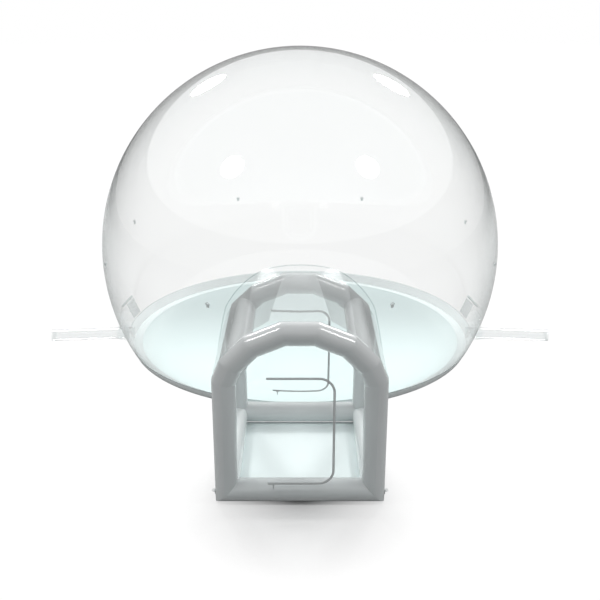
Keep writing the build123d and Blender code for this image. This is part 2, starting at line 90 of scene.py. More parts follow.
# ---------------------------------------------------------------- shader node groups
class Groups:
    """Builds each shared effect once, as a shader node group."""

    _made: dict[str, bpy.types.NodeTree] = {}

    @classmethod
    def _start(cls, name: str, inputs: dict[str, float], outputs: Sequence[str]) -> bpy.types.NodeTree:
        """Makes an empty group whose sockets are plain numbers.

        Args:
            name: The group's name.
            inputs: Input names and their usual values.
            outputs: Output names.

        Returns:
            The group, with its Group Input and Group Output nodes.
        """
        tree = bpy.data.node_groups.new(name, "ShaderNodeTree")
        for label, value in inputs.items():
            socket = tree.interface.new_socket(label, in_out="INPUT", socket_type="NodeSocketFloat")
            socket.default_value = value
        for label in outputs:
            tree.interface.new_socket(label, in_out="OUTPUT", socket_type="NodeSocketFloat")
        tree.nodes.new("NodeGroupInput")
        tree.nodes.new("NodeGroupOutput")
        cls._made[name] = tree
        return tree

    @classmethod
    def _noise(cls, tree: bpy.types.NodeTree, scale_socket: str, detail: float) -> bpy.types.Node:
        """Adds a noise texture over the piece's own coordinates.

        Args:
            tree: The group to add it to.
            scale_socket: Name of the group input that sets its scale.
            detail: Octaves of the noise.

        Returns:
            The noise node.
        """
        place = tree.nodes.new("ShaderNodeTexCoord")
        noise = tree.nodes.new("ShaderNodeTexNoise")
        noise.inputs["Detail"].default_value = detail
        tree.links.new(place.outputs["Object"], noise.inputs["Vector"])
        tree.links.new(tree.nodes["Group Input"].outputs[scale_socket], noise.inputs["Scale"])
        return noise

    @classmethod
    def cloudy(cls) -> bpy.types.NodeTree:
        """A soft cloudy mask between two values, for haze, dust and uneven gloss.

        Returns:
            The group: inputs Scale, Low and High, output Mask.
        """
        if "cloudy_mask" in cls._made:
            return cls._made["cloudy_mask"]
        tree = cls._start("cloudy_mask", {"Scale": 3.0, "Low": 0.0, "High": 1.0}, ["Mask"])
        noise = cls._noise(tree, "Scale", 3.0)
        spread = tree.nodes.new("ShaderNodeMapRange")
        spread.inputs["From Min"].default_value = 0.3
        spread.inputs["From Max"].default_value = 0.7
        ends = tree.nodes["Group Input"]
        tree.links.new(noise.outputs["Fac"], spread.inputs["Value"])
        tree.links.new(ends.outputs["Low"], spread.inputs["To Min"])
        tree.links.new(ends.outputs["High"], spread.inputs["To Max"])
        tree.links.new(spread.outputs["Result"], tree.nodes["Group Output"].inputs["Mask"])
        return tree

    @classmethod
    def ripple(cls) -> bpy.types.NodeTree:
        """Long soft ripples with a fine grain over them, as a height.

        Returns:
            The group: inputs Ripple Scale, Grain Scale and Grain Share, output Height.
        """
        if "film_ripple" in cls._made:
            return cls._made["film_ripple"]
        sizes = {"Ripple Scale": 2.0, "Grain Scale": 300.0, "Grain Share": 0.1}
        tree = cls._start("film_ripple", sizes, ["Height"])
        long_wave = cls._noise(tree, "Ripple Scale", 1.0)
        grain = cls._noise(tree, "Grain Scale", 2.0)
        add = tree.nodes.new("ShaderNodeMath")
        add.operation = "MULTIPLY_ADD"
        tree.links.new(grain.outputs["Fac"], add.inputs[0])
        tree.links.new(tree.nodes["Group Input"].outputs["Grain Share"], add.inputs[1])
        tree.links.new(long_wave.outputs["Fac"], add.inputs[2])
        tree.links.new(add.outputs["Value"], tree.nodes["Group Output"].inputs["Height"])
        return tree

    @classmethod
    def weave(cls) -> bpy.types.NodeTree:
        """A plain weave: threads that pass over and under each other.

        Returns:
            The group: input Threads, outputs Height and Gap.
        """
        if "plain_weave" in cls._made:
            return cls._made["plain_weave"]
        tree = cls._start("plain_weave", {"Threads": 700.0}, ["Height", "Gap"])
        place = tree.nodes.new("ShaderNodeTexCoord")
        waves = []
        for axis in ("X", "Z"):
            wave = tree.nodes.new("ShaderNodeTexWave")
            wave.bands_direction = axis
            tree.links.new(place.outputs["Object"], wave.inputs["Vector"])
            tree.links.new(tree.nodes["Group Input"].outputs["Threads"], wave.inputs["Scale"])
            waves.append(wave)
        for label, operation in (("Height", "ADD"), ("Gap", "MULTIPLY")):
            join = tree.nodes.new("ShaderNodeMath")
            join.operation = operation
            for slot_index, wave in enumerate(waves):
                tree.links.new(wave.outputs["Fac"], join.inputs[slot_index])
            tree.links.new(join.outputs["Value"], tree.nodes["Group Output"].inputs[label])
        return tree


# ---------------------------------------------------------------- finishes
class MaterialMaker:
    """A material being put together, with short ways to add its nodes."""

    def __init__(self, name: str) -> None:
        """Starts an empty node material.

        Args:
            name: The material's name.
        """
        self.material = bpy.data.materials.new(name)
        self.material.use_nodes = True
        self.tree = self.material.node_tree
        self.tree.nodes.clear()
        self.output = self.add("ShaderNodeOutputMaterial")

    def add(self, kind: str) -> bpy.types.Node:
        """Adds a node and returns it."""
        return self.tree.nodes.new(kind)

    def link(self, source: bpy.types.NodeSocket, target: bpy.types.NodeSocket) -> None:
        """Joins an output to an input."""
        self.tree.links.new(source, target)

    def group(self, tree: bpy.types.NodeTree, **values: float) -> bpy.types.Node:
        """Places a node group and sets its inputs.

        Args:
            tree: The group.
            **values: Input values, with underscores for the spaces in their names.

        Returns:
            The group's node.
        """
        node = self.add("ShaderNodeGroup")
        node.node_tree = tree
        for label, value in values.items():
            node.inputs[label.replace("_", " ")].default_value = value
        return node

    def math(self, operation: str, first: bpy.types.NodeSocket, *values: float) -> bpy.types.NodeSocket:
        """Adds a Math node on a socket and plain numbers.

        Args:
            operation: The Math node's operation.
            first: The socket that feeds its first input.
            *values: Numbers for its other inputs.

        Returns:
            The node's output.
        """
        node = self.add("ShaderNodeMath")
        node.operation = operation
        self.link(first, node.inputs[0])
        for index, value in enumerate(values, start=1):
            node.inputs[index].default_value = value
        return node.outputs["Value"]

    def product(self, first: bpy.types.NodeSocket, second: bpy.types.NodeSocket) -> bpy.types.NodeSocket:
        """Multiplies two sockets.

        Args:
            first: One socket.
            second: The other.

        Returns:
            The output of the Math node.
        """
        node = self.add("ShaderNodeMath")
        node.operation = "MULTIPLY"
        self.link(first, node.inputs[0])
        self.link(second, node.inputs[1])
        return node.outputs["Value"]

    def shader(self, roughness: float, metallic: float = 0.0) -> bpy.types.Node:
        """Adds a Principled shader with plain values.

        Args:
            roughness: Its roughness.
            metallic: 1 for metal, 0 for everything else.

        Returns:
            The shader node.
        """
        node = self.add("ShaderNodeBsdfPrincipled")
        node.inputs["Roughness"].default_value = roughness
        node.inputs["Metallic"].default_value = metallic
        return node

    def bump(self, shader: bpy.types.Node, height: bpy.types.NodeSocket, depth: float) -> None:
        """Bumps a shader's surface.

        Args:
            shader: The Principled node.
            height: The height, from 0 to about 1.
            depth: What a height of 1 stands for, in metres.
        """
        node = self.add("ShaderNodeBump")
        node.inputs["Distance"].default_value = depth
        node.inputs["Strength"].default_value = 1.0
        self.link(height, node.inputs["Height"])
        self.link(node.outputs["Normal"], shader.inputs["Normal"])

    def shades(self, mask: bpy.types.NodeSocket, low: Colour, high: Colour,
               target: bpy.types.NodeSocket) -> None:
        """Feeds a colour that runs between two shades by a mask.

        Args:
            mask: The mask, from 0 to 1.
            low: The shade at 0.
            high: The shade at 1.
            target: The colour input to feed.
        """
        node = self.add("ShaderNodeMix")
        node.data_type = "RGBA"
        node.inputs["A"].default_value = (*low, 1.0)
        node.inputs["B"].default_value = (*high, 1.0)
        self.link(mask, node.inputs["Factor"])
        self.link(node.outputs["Result"], target)

    def finish(self, shader: bpy.types.NodeSocket) -> bpy.types.Material:
        """Joins the shader to the output and returns the material."""
        self.link(shader, self.output.inputs["Surface"])
        return self.material


@dataclass(frozen=True)
class FilmFinish:
    """Clear plastic film: it lets the view through and reflects more the flatter it is seen.

    Attributes:
        name: The material's name.
        tint: What the film lets through, face by face.
        straight_gloss: Share reflected when seen square on.
        edge_power: How late the reflection rises towards the film's edge.
        roughness: Roughness of the reflection.
        ripple_depth: Height of the film's ripples, in metres.
        shade: Share of lamp light that the film holds back.
        edge_gloss: Share reflected when seen edge on.
    """

    name: str
    tint: Colour
    straight_gloss: float = 0.035
    edge_power: float = 4.2
    roughness: float = 0.02
    ripple_depth: float = 0.0003
    shade: float = 0.0
    edge_gloss: float = 1.0

    def material(self) -> bpy.types.Material:
        """Builds the finish's nodes.

        Returns:
            The material.
        """
        maker = MaterialMaker(self.name)
        facing = maker.add("ShaderNodeLayerWeight")
        facing.inputs["Blend"].default_value = 0.5
        rise = maker.math("POWER", facing.outputs["Facing"], self.edge_power)
        gain = self.edge_gloss - self.straight_gloss
        reflected = maker.math("MULTIPLY_ADD", rise, gain, self.straight_gloss)
        path = maker.add("ShaderNodeLightPath")
        for ray in ("Is Shadow Ray", "Is Diffuse Ray"):
            passes = maker.math("MULTIPLY_ADD", path.outputs[ray], self.shade - 1.0, 1.0)
            reflected = maker.product(reflected, passes)
        clear = maker.add("ShaderNodeBsdfTransparent")
        clear.inputs["Color"].default_value = (*self.tint, 1.0)
        gloss = maker.shader(self.roughness, metallic=1.0)
        gloss.inputs["Base Color"].default_value = (0.96, 0.97, 0.97, 1.0)
        haze = maker.group(Groups.cloudy(), Scale=1.3, Low=self.roughness, High=self.roughness + 0.03)
        maker.link(haze.outputs["Mask"], gloss.inputs["Roughness"])
        ripple = maker.group(Groups.ripple(), Ripple_Scale=1.6, Grain_Scale=240.0, Grain_Share=0.02)
        maker.bump(gloss, ripple.outputs["Height"], self.ripple_depth)
        both = maker.add("ShaderNodeMixShader")
        maker.link(reflected, both.inputs["Fac"])
        maker.link(clear.outputs["BSDF"], both.inputs[1])
        maker.link(gloss.outputs["BSDF"], both.inputs[2])
        return maker.finish(both.outputs["Shader"])


@dataclass(frozen=True)
class VinylFinish:
    """Coated plastic sheet or moulding, with uneven gloss and a fine grain.

    Attributes:
        name: The material's name.
        low: The darker shade of its colour.
        high: The lighter shade of its colour.
        roughness: Roughness of the body of the plastic.
        coat: Weight of the clear gloss over it.
        coat_roughness: Roughness of that gloss.
        cloud_scale: Scale of the colour's clouds, per metre.
        ripple_scale: Scale of the surface's ripples, per metre.
        ripple_depth: Height of the ripples, in metres.
        grain_share: Height of the grain, as a share of the ripples.
        fade: Places along Y between which the colour runs from low to high as painted shade, or None for
            clouds.
    """

    name: str
    low: Colour
    high: Colour
    roughness: float = 0.4
    coat: float = 0.6
    coat_roughness: float = 0.05
    cloud_scale: float = 2.5
    ripple_scale: float = 4.0
    ripple_depth: float = 0.0006
    grain_share: float = 0.03
    fade: tuple[float, float] | None = None

    def material(self) -> bpy.types.Material:
        """Builds the finish's nodes.

        Returns:
            The material.
        """
        maker = MaterialMaker(self.name)
        body = maker.shader(self.roughness)
        body.inputs["Coat Weight"].default_value = self.coat
        body.inputs["Coat Roughness"].default_value = self.coat_roughness
        # A fade along Y paints shade into the colour in place of the clouds.
        if self.fade:
            mask = self.painted_shade_ramp(maker)
        else:
            mask = maker.group(Groups.cloudy(), Scale=self.cloud_scale).outputs["Mask"]
        maker.shades(mask, self.low, self.high, body.inputs["Base Color"])
        uneven = maker.group(Groups.cloudy(), Scale=self.cloud_scale * 3, Low=self.roughness - 0.05,
                             High=self.roughness + 0.08)
        maker.link(uneven.outputs["Mask"], body.inputs["Roughness"])
        ripple = maker.group(Groups.ripple(), Ripple_Scale=self.ripple_scale, Grain_Scale=260.0,
                             Grain_Share=self.grain_share)
        maker.bump(body, ripple.outputs["Height"], self.ripple_depth)
        return maker.finish(body.outputs["BSDF"])

    def painted_shade_ramp(self, maker: MaterialMaker) -> bpy.types.NodeSocket:
        """A mask of painted shade that rises along Y between the two places of the fade.

        Args:
            maker: The material being made.

        Returns:
            The mask's socket.
        """
        place, split = maker.add("ShaderNodeTexCoord"), maker.add("ShaderNodeSeparateXYZ")
        rise = maker.add("ShaderNodeMapRange")
        rise.interpolation_type = "SMOOTHSTEP"
        rise.inputs["From Min"].default_value, rise.inputs["From Max"].default_value = self.fade
        maker.link(place.outputs["Object"], split.inputs["Vector"])
        maker.link(split.outputs["Y"], rise.inputs["Value"])
        return rise.outputs["Result"]


@dataclass(frozen=True)
class WovenFinish:
    """Woven tape, webbing or net.

    Attributes:
        name: The material's name.
        low: The colour between the threads, a painted shade in the weave's hollows.
        high: The colour on the threads.
        threads: Scale of the weave, per metre.
        open_share: Share of the net that is open between its threads, or 0 for a tight weave.
    """

    name: str
    low: Colour
    high: Colour
    threads: float = 900.0
    open_share: float = 0.0

    def material(self) -> bpy.types.Material:
        """Builds the finish's nodes.

        Returns:
            The material.
        """
        maker = MaterialMaker(self.name)
        body = maker.shader(0.75)
        body.inputs["Sheen Weight"].default_value = 0.3
        weave = maker.group(Groups.weave(), Threads=self.threads)
        # Darker between the threads: painted shade in the weave's hollows.
        maker.shades(weave.outputs["Gap"], self.low, self.high, body.inputs["Base Color"])
        maker.bump(body, weave.outputs["Height"], 0.0003)
        if self.open_share:
            solid = maker.math("MULTIPLY_ADD", weave.outputs["Gap"], self.open_share, 1.0 - self.open_share)
            maker.link(solid, body.inputs["Alpha"])
        return maker.finish(body.outputs["BSDF"])


@dataclass(frozen=True)
class MetalFinish:
    """Plated or brushed metal with dull patches where it rubs.

    Attributes:
        name: The material's name.
        low: The dull shade.
        high: The bright shade.
        roughness: Roughness of the bright metal.
    """

    name: str
    low: Colour
    high: Colour
    roughness: float = 0.25

    def material(self) -> bpy.types.Material:
        """Builds the finish's nodes.

        Returns:
            The material.
        """
        maker = MaterialMaker(self.name)
        body = maker.shader(self.roughness, metallic=1.0)
        rubbed = maker.group(Groups.cloudy(), Scale=60.0)
        maker.shades(rubbed.outputs["Mask"], self.low, self.high, body.inputs["Base Color"])
        dull = maker.group(Groups.cloudy(), Scale=120.0, Low=self.roughness, High=self.roughness + 0.2)
        maker.link(dull.outputs["Mask"], body.inputs["Roughness"])
        grain = maker.group(Groups.ripple(), Ripple_Scale=400.0, Grain_Scale=2500.0, Grain_Share=0.5)
        maker.bump(body, grain.outputs["Height"], 0.00005)
        return maker.finish(body.outputs["BSDF"])


def made(finish: FilmFinish | VinylFinish | WovenFinish | MetalFinish) -> bpy.types.Material:
    """A dataclass field that holds a finish's material, built when the object is."""
    return field(default_factory=finish.material)


@dataclass
class Finishes:
    """Every material of the tent, built once."""

    film: bpy.types.Material = made(FilmFinish("clear_dome_film", (0.988, 0.990, 0.989)))
    tunnel_film: bpy.types.Material = made(FilmFinish("clear_tunnel_film", (0.988, 0.993, 0.993),
        roughness=0.06))
    neck_film: bpy.types.Material = made(FilmFinish("clear_neck_film", (0.982, 0.986, 0.986), 0.004, 4.0,
        0.1, edge_gloss=0.025))
    sleeve: bpy.types.Material = made(FilmFinish("air_sleeve_film", (0.965, 0.97, 0.97), edge_power=2.4))
    # A lighter copy of the groundsheet's colour for the tunnel and neck floors: painted light that makes up
    # for the shade inside the tunnel.
    painted_light_tunnel_ground: bpy.types.Material = made(VinylFinish("tunnel_groundsheet", (0.86, 0.94, 0.94),
        (0.90, 0.98, 0.98), coat=0.2, coat_roughness=0.25, ripple_depth=0.001))
    # A lighter copy of the tube's vinyl for the floor tubes: painted light that makes up for the shade inside
    # the tunnel.
    painted_light_tube: bpy.types.Material = made(VinylFinish("inflated_vinyl_painted_light", (0.76, 0.80, 0.80),
        (0.80, 0.84, 0.84), coat=0.8, coat_roughness=0.03))
    weld: bpy.types.Material = made(FilmFinish("welded_film_edge", (0.88, 0.90, 0.90), 0.01, 6.0, 0.3,
        shade=0.3))
    tube: bpy.types.Material = made(VinylFinish("inflated_vinyl", (0.60, 0.625, 0.63), (0.64, 0.665, 0.67),
        coat=1.0, coat_roughness=0.03))
    # The groundsheet runs from light at the front to dark at the back: the darker back is painted shade.
    ground: bpy.types.Material = made(VinylFinish("groundsheet", (0.80, 0.93, 0.93), (0.46, 0.54, 0.54),
        roughness=0.5, coat=0.25, coat_roughness=0.25, ripple_depth=0.001, fade=(-1.4, 1.2)))
    border: bpy.types.Material = made(VinylFinish("border_strip", (0.68, 0.75, 0.75), (0.71, 0.78, 0.78),
        coat=0.2, coat_roughness=0.25))
    band: bpy.types.Material = made(VinylFinish("band_vinyl", (0.92, 0.95, 0.95), (0.95, 0.98, 0.98),
        roughness=0.5, coat=0.2, coat_roughness=0.3))
    tape: bpy.types.Material = made(WovenFinish("zip_tape", (0.55, 0.57, 0.575), (0.70, 0.72, 0.725)))
    teeth: bpy.types.Material = made(VinylFinish("zip_teeth", (0.58, 0.595, 0.60), (0.68, 0.695, 0.70),
        coat=0.3, cloud_scale=40.0))
    zinc: bpy.types.Material = made(MetalFinish("plated_zinc", (0.45, 0.47, 0.48), (0.66, 0.68, 0.69)))
    steel: bpy.types.Material = made(MetalFinish("ring_steel", (0.42, 0.44, 0.45), (0.60, 0.62, 0.63),
        0.35))
    white: bpy.types.Material = made(VinylFinish("white_moulding", (0.86, 0.87, 0.87), (0.93, 0.94, 0.94),
        coat=0.4, cloud_scale=30.0))
    patch: bpy.types.Material = made(VinylFinish("welded_patch", (0.66, 0.70, 0.70), (0.74, 0.78, 0.78),
        coat=0.3, cloud_scale=30.0))
    net: bpy.types.Material = made(WovenFinish("vent_net", (0.5, 0.53, 0.53), (0.85, 0.88, 0.88),
        threads=500.0, open_share=0.7))
    webbing: bpy.types.Material = made(WovenFinish("tie_webbing", (0.42, 0.46, 0.465), (0.62, 0.67, 0.675),
        600.0))
    rolled: bpy.types.Material = made(VinylFinish("rolled_film", (0.50, 0.55, 0.555), (0.60, 0.65, 0.655),
        roughness=0.35, cloud_scale=12.0, ripple_scale=14.0))


# ---------------------------------------------------------------- making meshes
def piece_from(name: str, points: Sequence[Vector], faces: Sequence[Sequence[int]]) -> bpy.types.Object:
    """Makes an object from points and faces, with its faces turned outwards.

    Args:
        name: The piece's name.
        points: Its vertices.
        faces: Vertex numbers of each face.

    Returns:
        The object, linked to the scene.
    """
    mesh = bpy.data.meshes.new(name)
    mesh.from_pydata([tuple(point) for point in points], [], [tuple(face) for face in faces])
    work = bmesh.new()
    work.from_mesh(mesh)
    bmesh.ops.remove_doubles(work, verts=work.verts, dist=1e-6)
    bmesh.ops.recalc_face_normals(work, faces=work.faces)
    work.to_mesh(mesh)
    work.free()
    piece = bpy.data.objects.new(name, mesh)
    bpy.context.scene.collection.objects.link(piece)
    return piece


def shade(piece: bpy.types.Object, crease: float) -> bpy.types.Object:
    """Shades a piece smooth, with a sharp edge wherever it turns by more than an angle.

    Args:
        piece: The piece.
        crease: The angle, in degrees.

    Returns:
        The same piece.
    """
    piece.data.shade_smooth()
    piece.data.set_sharp_from_angle(angle=radians(crease))
    return piece


def settle(piece: bpy.types.Object) -> bpy.types.Object:
    """Applies a piece's modifiers to its mesh.

    Args:
        piece: The piece.

    Returns:
        The same piece.
    """
    graph = bpy.context.evaluated_depsgraph_get()
    mesh = bpy.data.meshes.new_from_object(piece.evaluated_get(graph))
    piece.modifiers.clear()
    piece.data = mesh
    return piece


def thicken(piece: bpy.types.Object, thickness: float, crease: float = SHEET_CREASE) -> bpy.types.Object:
    """Gives a single surface the thickness of a real sheet.

    Args:
        piece: The surface.
        thickness: The sheet's thickness, which grows outwards from the surface.
        crease: The angle above which an edge is sharp, in degrees.

    Returns:
        The same piece, closed.
    """
    grow = piece.modifiers.new("thickness", "SOLIDIFY")
    grow.thickness = thickness
    grow.offset = 1.0
    grow.use_even_offset = True
    return shade(settle(piece), crease)


def grid_faces(rows: int, columns: int, wrap: bool = False) -> list[tuple[int, int, int, int]]:
    """Faces of a grid of points stored row by row.

    Args:
        rows: How many rows.
        columns: How many points in a row.
        wrap: True where each row closes on itself.

    Returns:
        The quads.
    """
    last = columns if wrap else columns - 1
    faces = []
    for row in range(rows - 1):
        for column in range(last):
            beside = (column + 1) % columns
            faces.append((row * columns + column, row * columns + beside,
                          (row + 1) * columns + beside, (row + 1) * columns + column))
    return faces


def surface(name: str, rows: Sequence[Sequence[Vector]]) -> bpy.types.Object:
    """A single open surface through rows of points."""
    points = [point for row in rows for point in row]
    return piece_from(name, points, grid_faces(len(rows), len(rows[0])))


def revolve(name: str, profile: Sequence[Point2], count: int, place: Matrix = Matrix()) -> bpy.types.Object:
    """Turns a closed profile round the Z axis.

    Args:
        name: The piece's name.
        profile: (radius, height) points in order; a radius of 0 is on the axis.
        count: Points round the circle.
        place: Where the piece goes.

    Returns:
        The closed piece.
    """
    points = []
    rings = []
    for radius, height in profile:
        number = 1 if radius == 0.0 else count
        rings.append(range(len(points), len(points) + number))
        for step in range(number):
            turn = 2 * pi * step / count
            points.append(place @ Vector((radius * cos(turn), radius * sin(turn), height)))
    faces = []
    for low, high in zip(rings, rings[1:] + rings[:1]):
        if len(low) == 1 and len(high) == 1:
            continue
        for step in range(count):
            beside = (step + 1) % count
            corners = [low[step % len(low)], low[beside % len(low)],
                       high[beside % len(high)], high[step % len(high)]]
            faces.append(tuple(dict.fromkeys(corners)))
    return piece_from(name, points, faces)


def prism(name: str, outline: Sequence[Point2], place: Matrix, low: float, high: float) -> bpy.types.Object:
    """An outline in a plane, given depth along the plane's normal.

    Args:
        name: The piece's name.
        outline: Its corners in the plane.
        place: The plane.
        low: Lowest height along the normal.
        high: Highest height along the normal.

    Returns:
        The closed piece.
    """
    count = len(outline)
    points = [place @ Vector((x, y, height)) for height in (low, high) for x, y in outline]
    faces = [tuple(range(count)), tuple(range(count, 2 * count))]
    faces += [(i, (i + 1) % count, (i + 1) % count + count, i + count) for i in range(count)]
    return piece_from(name, points, faces)


def holed_sheet(name: str, outline: Sequence[Point2], hole: Sequence[Point2], place: Matrix,
                thickness: float) -> bpy.types.Object:
    """A flat sheet with one hole through it.

    Args:
        name: The piece's name.
        outline: The sheet's corners in its plane.
        hole: The hole's corners in that plane.
        place: The plane of its outer face.
        thickness: How thick the sheet is.

    Returns:
        The closed piece.
    """
    loops = [[Vector((x, y, 0.0)) for x, y in loop] for loop in (outline, hole)]
    flat = [point for loop in loops for point in loop]
    triangles = tessellate_polygon(loops)
    count = len(flat)
    points = [place @ (point - Vector((0, 0, depth))) for depth in (0.0, thickness) for point in flat]
    faces = [tuple(face) for face in triangles] + [tuple(i + count for i in face) for face in triangles]
    start = 0
    for loop in loops:
        size = len(loop)
        for i in range(size):
            near, far = start + i, start + (i + 1) % size
            faces.append((near, far, far + count, near + count))
        start += size
    return piece_from(name, points, faces)


def cut(piece: bpy.types.Object, tools: Sequence[bpy.types.Object], keep: Cut) -> bpy.types.Object:
    """Cuts a closed piece with closed shapes, which are then removed.

    Args:
        piece: The piece.
        tools: The cutting shapes.
        keep: Which part of the piece stays.

    Returns:
        The same piece.
    """
    for tool in tools:
        step = piece.modifiers.new("cut", "BOOLEAN")
        step.operation = keep.value
        step.solver = "EXACT"
        step.object = tool
    settle(piece)
    for tool in tools:
        bpy.data.objects.remove(tool)
    return piece


def dress(piece: bpy.types.Object, material: bpy.types.Material, body: Body = Body.TENT,
          replaces: Sequence[str] = ()) -> bpy.types.Object:
    """Gives a finished piece its material, its body and the nodes it stands for.

    Args:
        piece: The piece.
        material: Its material.
        body: The body that it rides on.
        replaces: The solid nodes that it stands for.

    Returns:
        The same piece.
    """
    piece.data.materials.clear()
    piece.data.materials.append(material)
    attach(piece, body.value)
    if replaces:
        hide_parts(*replaces)
    LOG.info("made %s", piece.name)
    return piece


def smooth_line(knots: Sequence[Point2], steps: int) -> list[Point2]:
    """A smooth line through knots in a plane, with the knots among its points.

    Args:
        knots: The points to pass through.
        steps: Points from one knot to the next.

    Returns:
        The line's points.
    """
    ends = [knots[0], *knots, knots[-1]]
    line = []
    for before, start, stop, after in zip(ends, ends[1:], ends[2:], ends[3:]):
        for step in range(steps):
            t = step / steps
            spot = []
            for a, b, c, d in zip(before, start, stop, after):
                square, cube = 2 * a - 5 * b + 4 * c - d, 3 * b - a - 3 * c + d
                spot.append(0.5 * (2 * b + (c - a) * t + square * t**2 + cube * t**3))
            line.append(tuple(spot))
    line.append(tuple(knots[-1]))
    return line


# ---------------------------------------------------------------- the dome
@dataclass
class Dome:
    """The spherical canopy, its band and its groundsheet.

    Attributes:
        film: Thickness of the canopy's film.
        band_sheet: Thickness of the band.
        rings: Rings of points from the band to the crown.
        columns: Points round the dome.
        border_width: Width of the pale strip round the floor.
        weld_half: Half the width of the weld at the top of the band.
        radius: The sphere's radius, from the frame.
        centre: The sphere's middle.
        band_top: Height of the band's upper edge.
    """

    film: float = 0.0012
    band_sheet: float = 0.003
    rings: int = 84
    columns: int = 192
    border_width: float = 0.105
    weld_half: float = 0.009
    radius: float = field(init=False)
    centre: Vector = field(init=False)
    band_top: float = field(init=False)

    def __post_init__(self) -> None:
        """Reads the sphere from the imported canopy."""
        low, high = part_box("dome_canopy")
        self.radius = (high.x - low.x) / 2
        self.centre = Vector((0, 0, high.z - self.radius))
        self.band_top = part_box("base_band")[1].z

    def plane(self, azimuth: float, height: float) -> Matrix:
        """A plane on the dome: x level, y up the wall and z out of it.

        Args:
            azimuth: Direction round the dome, in degrees from +X.
            height: Height above the ground.

        Returns:
            The plane as a matrix.
        """
        rise = asin((height - self.centre.z) / self.radius)
        turn = radians(azimuth)
        out = Vector((cos(rise) * cos(turn), cos(rise) * sin(turn), sin(rise)))
        level = Vector((-sin(turn), cos(turn), 0))
        turned = Matrix((level, out.cross(level), out)).transposed().to_4x4()
        return Matrix.Translation(self.centre + out * self.radius) @ turned

    def pressed(self, point: Vector, out: float) -> Vector:
        """A point moved straight in or out, to a distance outside the dome's surface."""
        return self.centre + (point - self.centre).normalized() * (self.radius + out)

    def front_point(self, x: float, z: float, out: float) -> Vector:
        """The point on the dome's tunnel side above a place, at a distance outside its surface."""
        reach = self.radius + out
        return Vector((x, -sqrt(max(0.0, reach**2 - x**2 - (z - self.centre.z) ** 2)), z))

    def arc(self, low: float, high: float, out: float, steps: int) -> list[Point2]:
        """(radius, height) points up the dome's outline.

        Args:
            low: Lowest height.
            high: Highest height; the crown's own height ends on the axis.
            out: Distance outside the dome's surface.
            steps: Steps between the two.

        Returns:
            The points, lowest first.
        """
        reach = self.radius + out
        angles = []
        for height in (low, high):
            angles.append(asin(max(-1.0, min(1.0, (height - self.centre.z) / self.radius))))
        line = []
        for step in range(steps + 1):
            angle = angles[0] + (angles[1] - angles[0]) * step / steps
            line.append((reach * cos(angle), self.centre.z + reach * sin(angle)))
        if high >= self.centre.z + self.radius - 1e-6:
            line[-1] = (0.0, self.centre.z + reach)
        return line

    def layer(self, name: str, low: float, high: float, inner: float, outer: float,
              steps: int) -> bpy.types.Object:
        """A closed ring or cap of the dome's wall.

        Args:
            name: The piece's name.
            low: Lowest height.
            high: Highest height.
            inner: Distance of its inner face outside the dome's surface.
            outer: Distance of its outer face.
            steps: Steps up the wall.

        Returns:
            The piece.
        """
        outline = self.arc(low, high, outer, steps) + self.arc(low, high, inner, steps)[::-1]
        return revolve(name, outline, self.columns)

    def patch(self, name: str, width: float, height: float, place: Matrix, inner: float,
              outer: float) -> bpy.types.Object:
        """A closed rectangular patch of the dome's wall, finely divided.

        Args:
            name: The piece's name.
            width: Width along the plane's x.
            height: Height along the plane's y.
            place: The plane on the dome at its middle.
            inner: Distance of its inner face outside the dome's surface.
            outer: Distance of its outer face.

        Returns:
            The piece.
        """
        count = 24
        points = []
        for out in (outer, inner):
            for row in range(count + 1):
                for column in range(count + 1):
                    flat = Vector((width * (column / count - 0.5), height * (row / count - 0.5), 0))
                    deep = sqrt(self.radius**2 - flat.length_squared) - self.radius
                    points.append(self.pressed(place @ (flat + Vector((0, 0, deep))), out))
        side = count + 1
        skin = grid_faces(side, side)
        faces = skin + [tuple(i + side * side for i in face) for face in skin]
        rim = list(range(side)) + [row * side + count for row in range(1, side)]
        rim += [count * side + column for column in range(count - 1, -1, -1)]
        rim += [row * side for row in range(count - 1, 0, -1)]
        for near, far in zip(rim, rim[1:] + rim[:1]):
            faces.append((near, far, far + side * side, near + side * side))
        return piece_from(name, points, faces)

    def round_off(self, piece: bpy.types.Object) -> bpy.types.Object:
        """Shades a piece of the dome's wall as part of a true sphere.

        Args:
            piece: The piece.

        Returns:
            The same piece.
        """
        shade(piece, SHEET_CREASE)
        mesh = piece.data
        normals = []
        for loop in mesh.loops:
            corner = Vector(loop.normal)
            out = (mesh.vertices[loop.vertex_index].co - self.centre).normalized()
            across = corner.dot(out)
            normals.append(out if across > 0.8 else -out if across < -0.8 else corner)
        mesh.normals_split_custom_set(normals)
        return piece

    def build(self, finishes: Finishes, openings: Sequence[Callable[[], bpy.types.Object]]) -> None:
        """Builds the canopy, the band, the floor and its border.

        Args:
            finishes: The tent's materials.
            openings: Functions that each make a shape to cut out of the wall.
        """
        crown = self.centre.z + self.radius
        canopy = self.layer("canopy_film", self.band_top, crown, -self.film, 0.0, self.rings)
        cut(canopy, [make() for make in openings], Cut.OUTSIDE)
        panels = ["dome_canopy", "door_panel", "vent_panel_right", "vent_panel_left"]
        dress(self.round_off(canopy), finishes.film, replaces=panels)

        band = self.layer("base_band_skirt", OFF_GROUND, self.band_top, -self.band_sheet, 0.0, 8)
        cut(band, [make() for make in openings], Cut.OUTSIDE)
        dress(shade(band, SHEET_CREASE), finishes.band, replaces=["base_band"])

        weld = self.layer("band_weld", self.band_top - self.weld_half, self.band_top + self.weld_half,
                          0.0003, 0.0012, 3)
        cut(weld, [make() for make in openings], Cut.OUTSIDE)
        dress(shade(weld, SHEET_CREASE), finishes.weld)

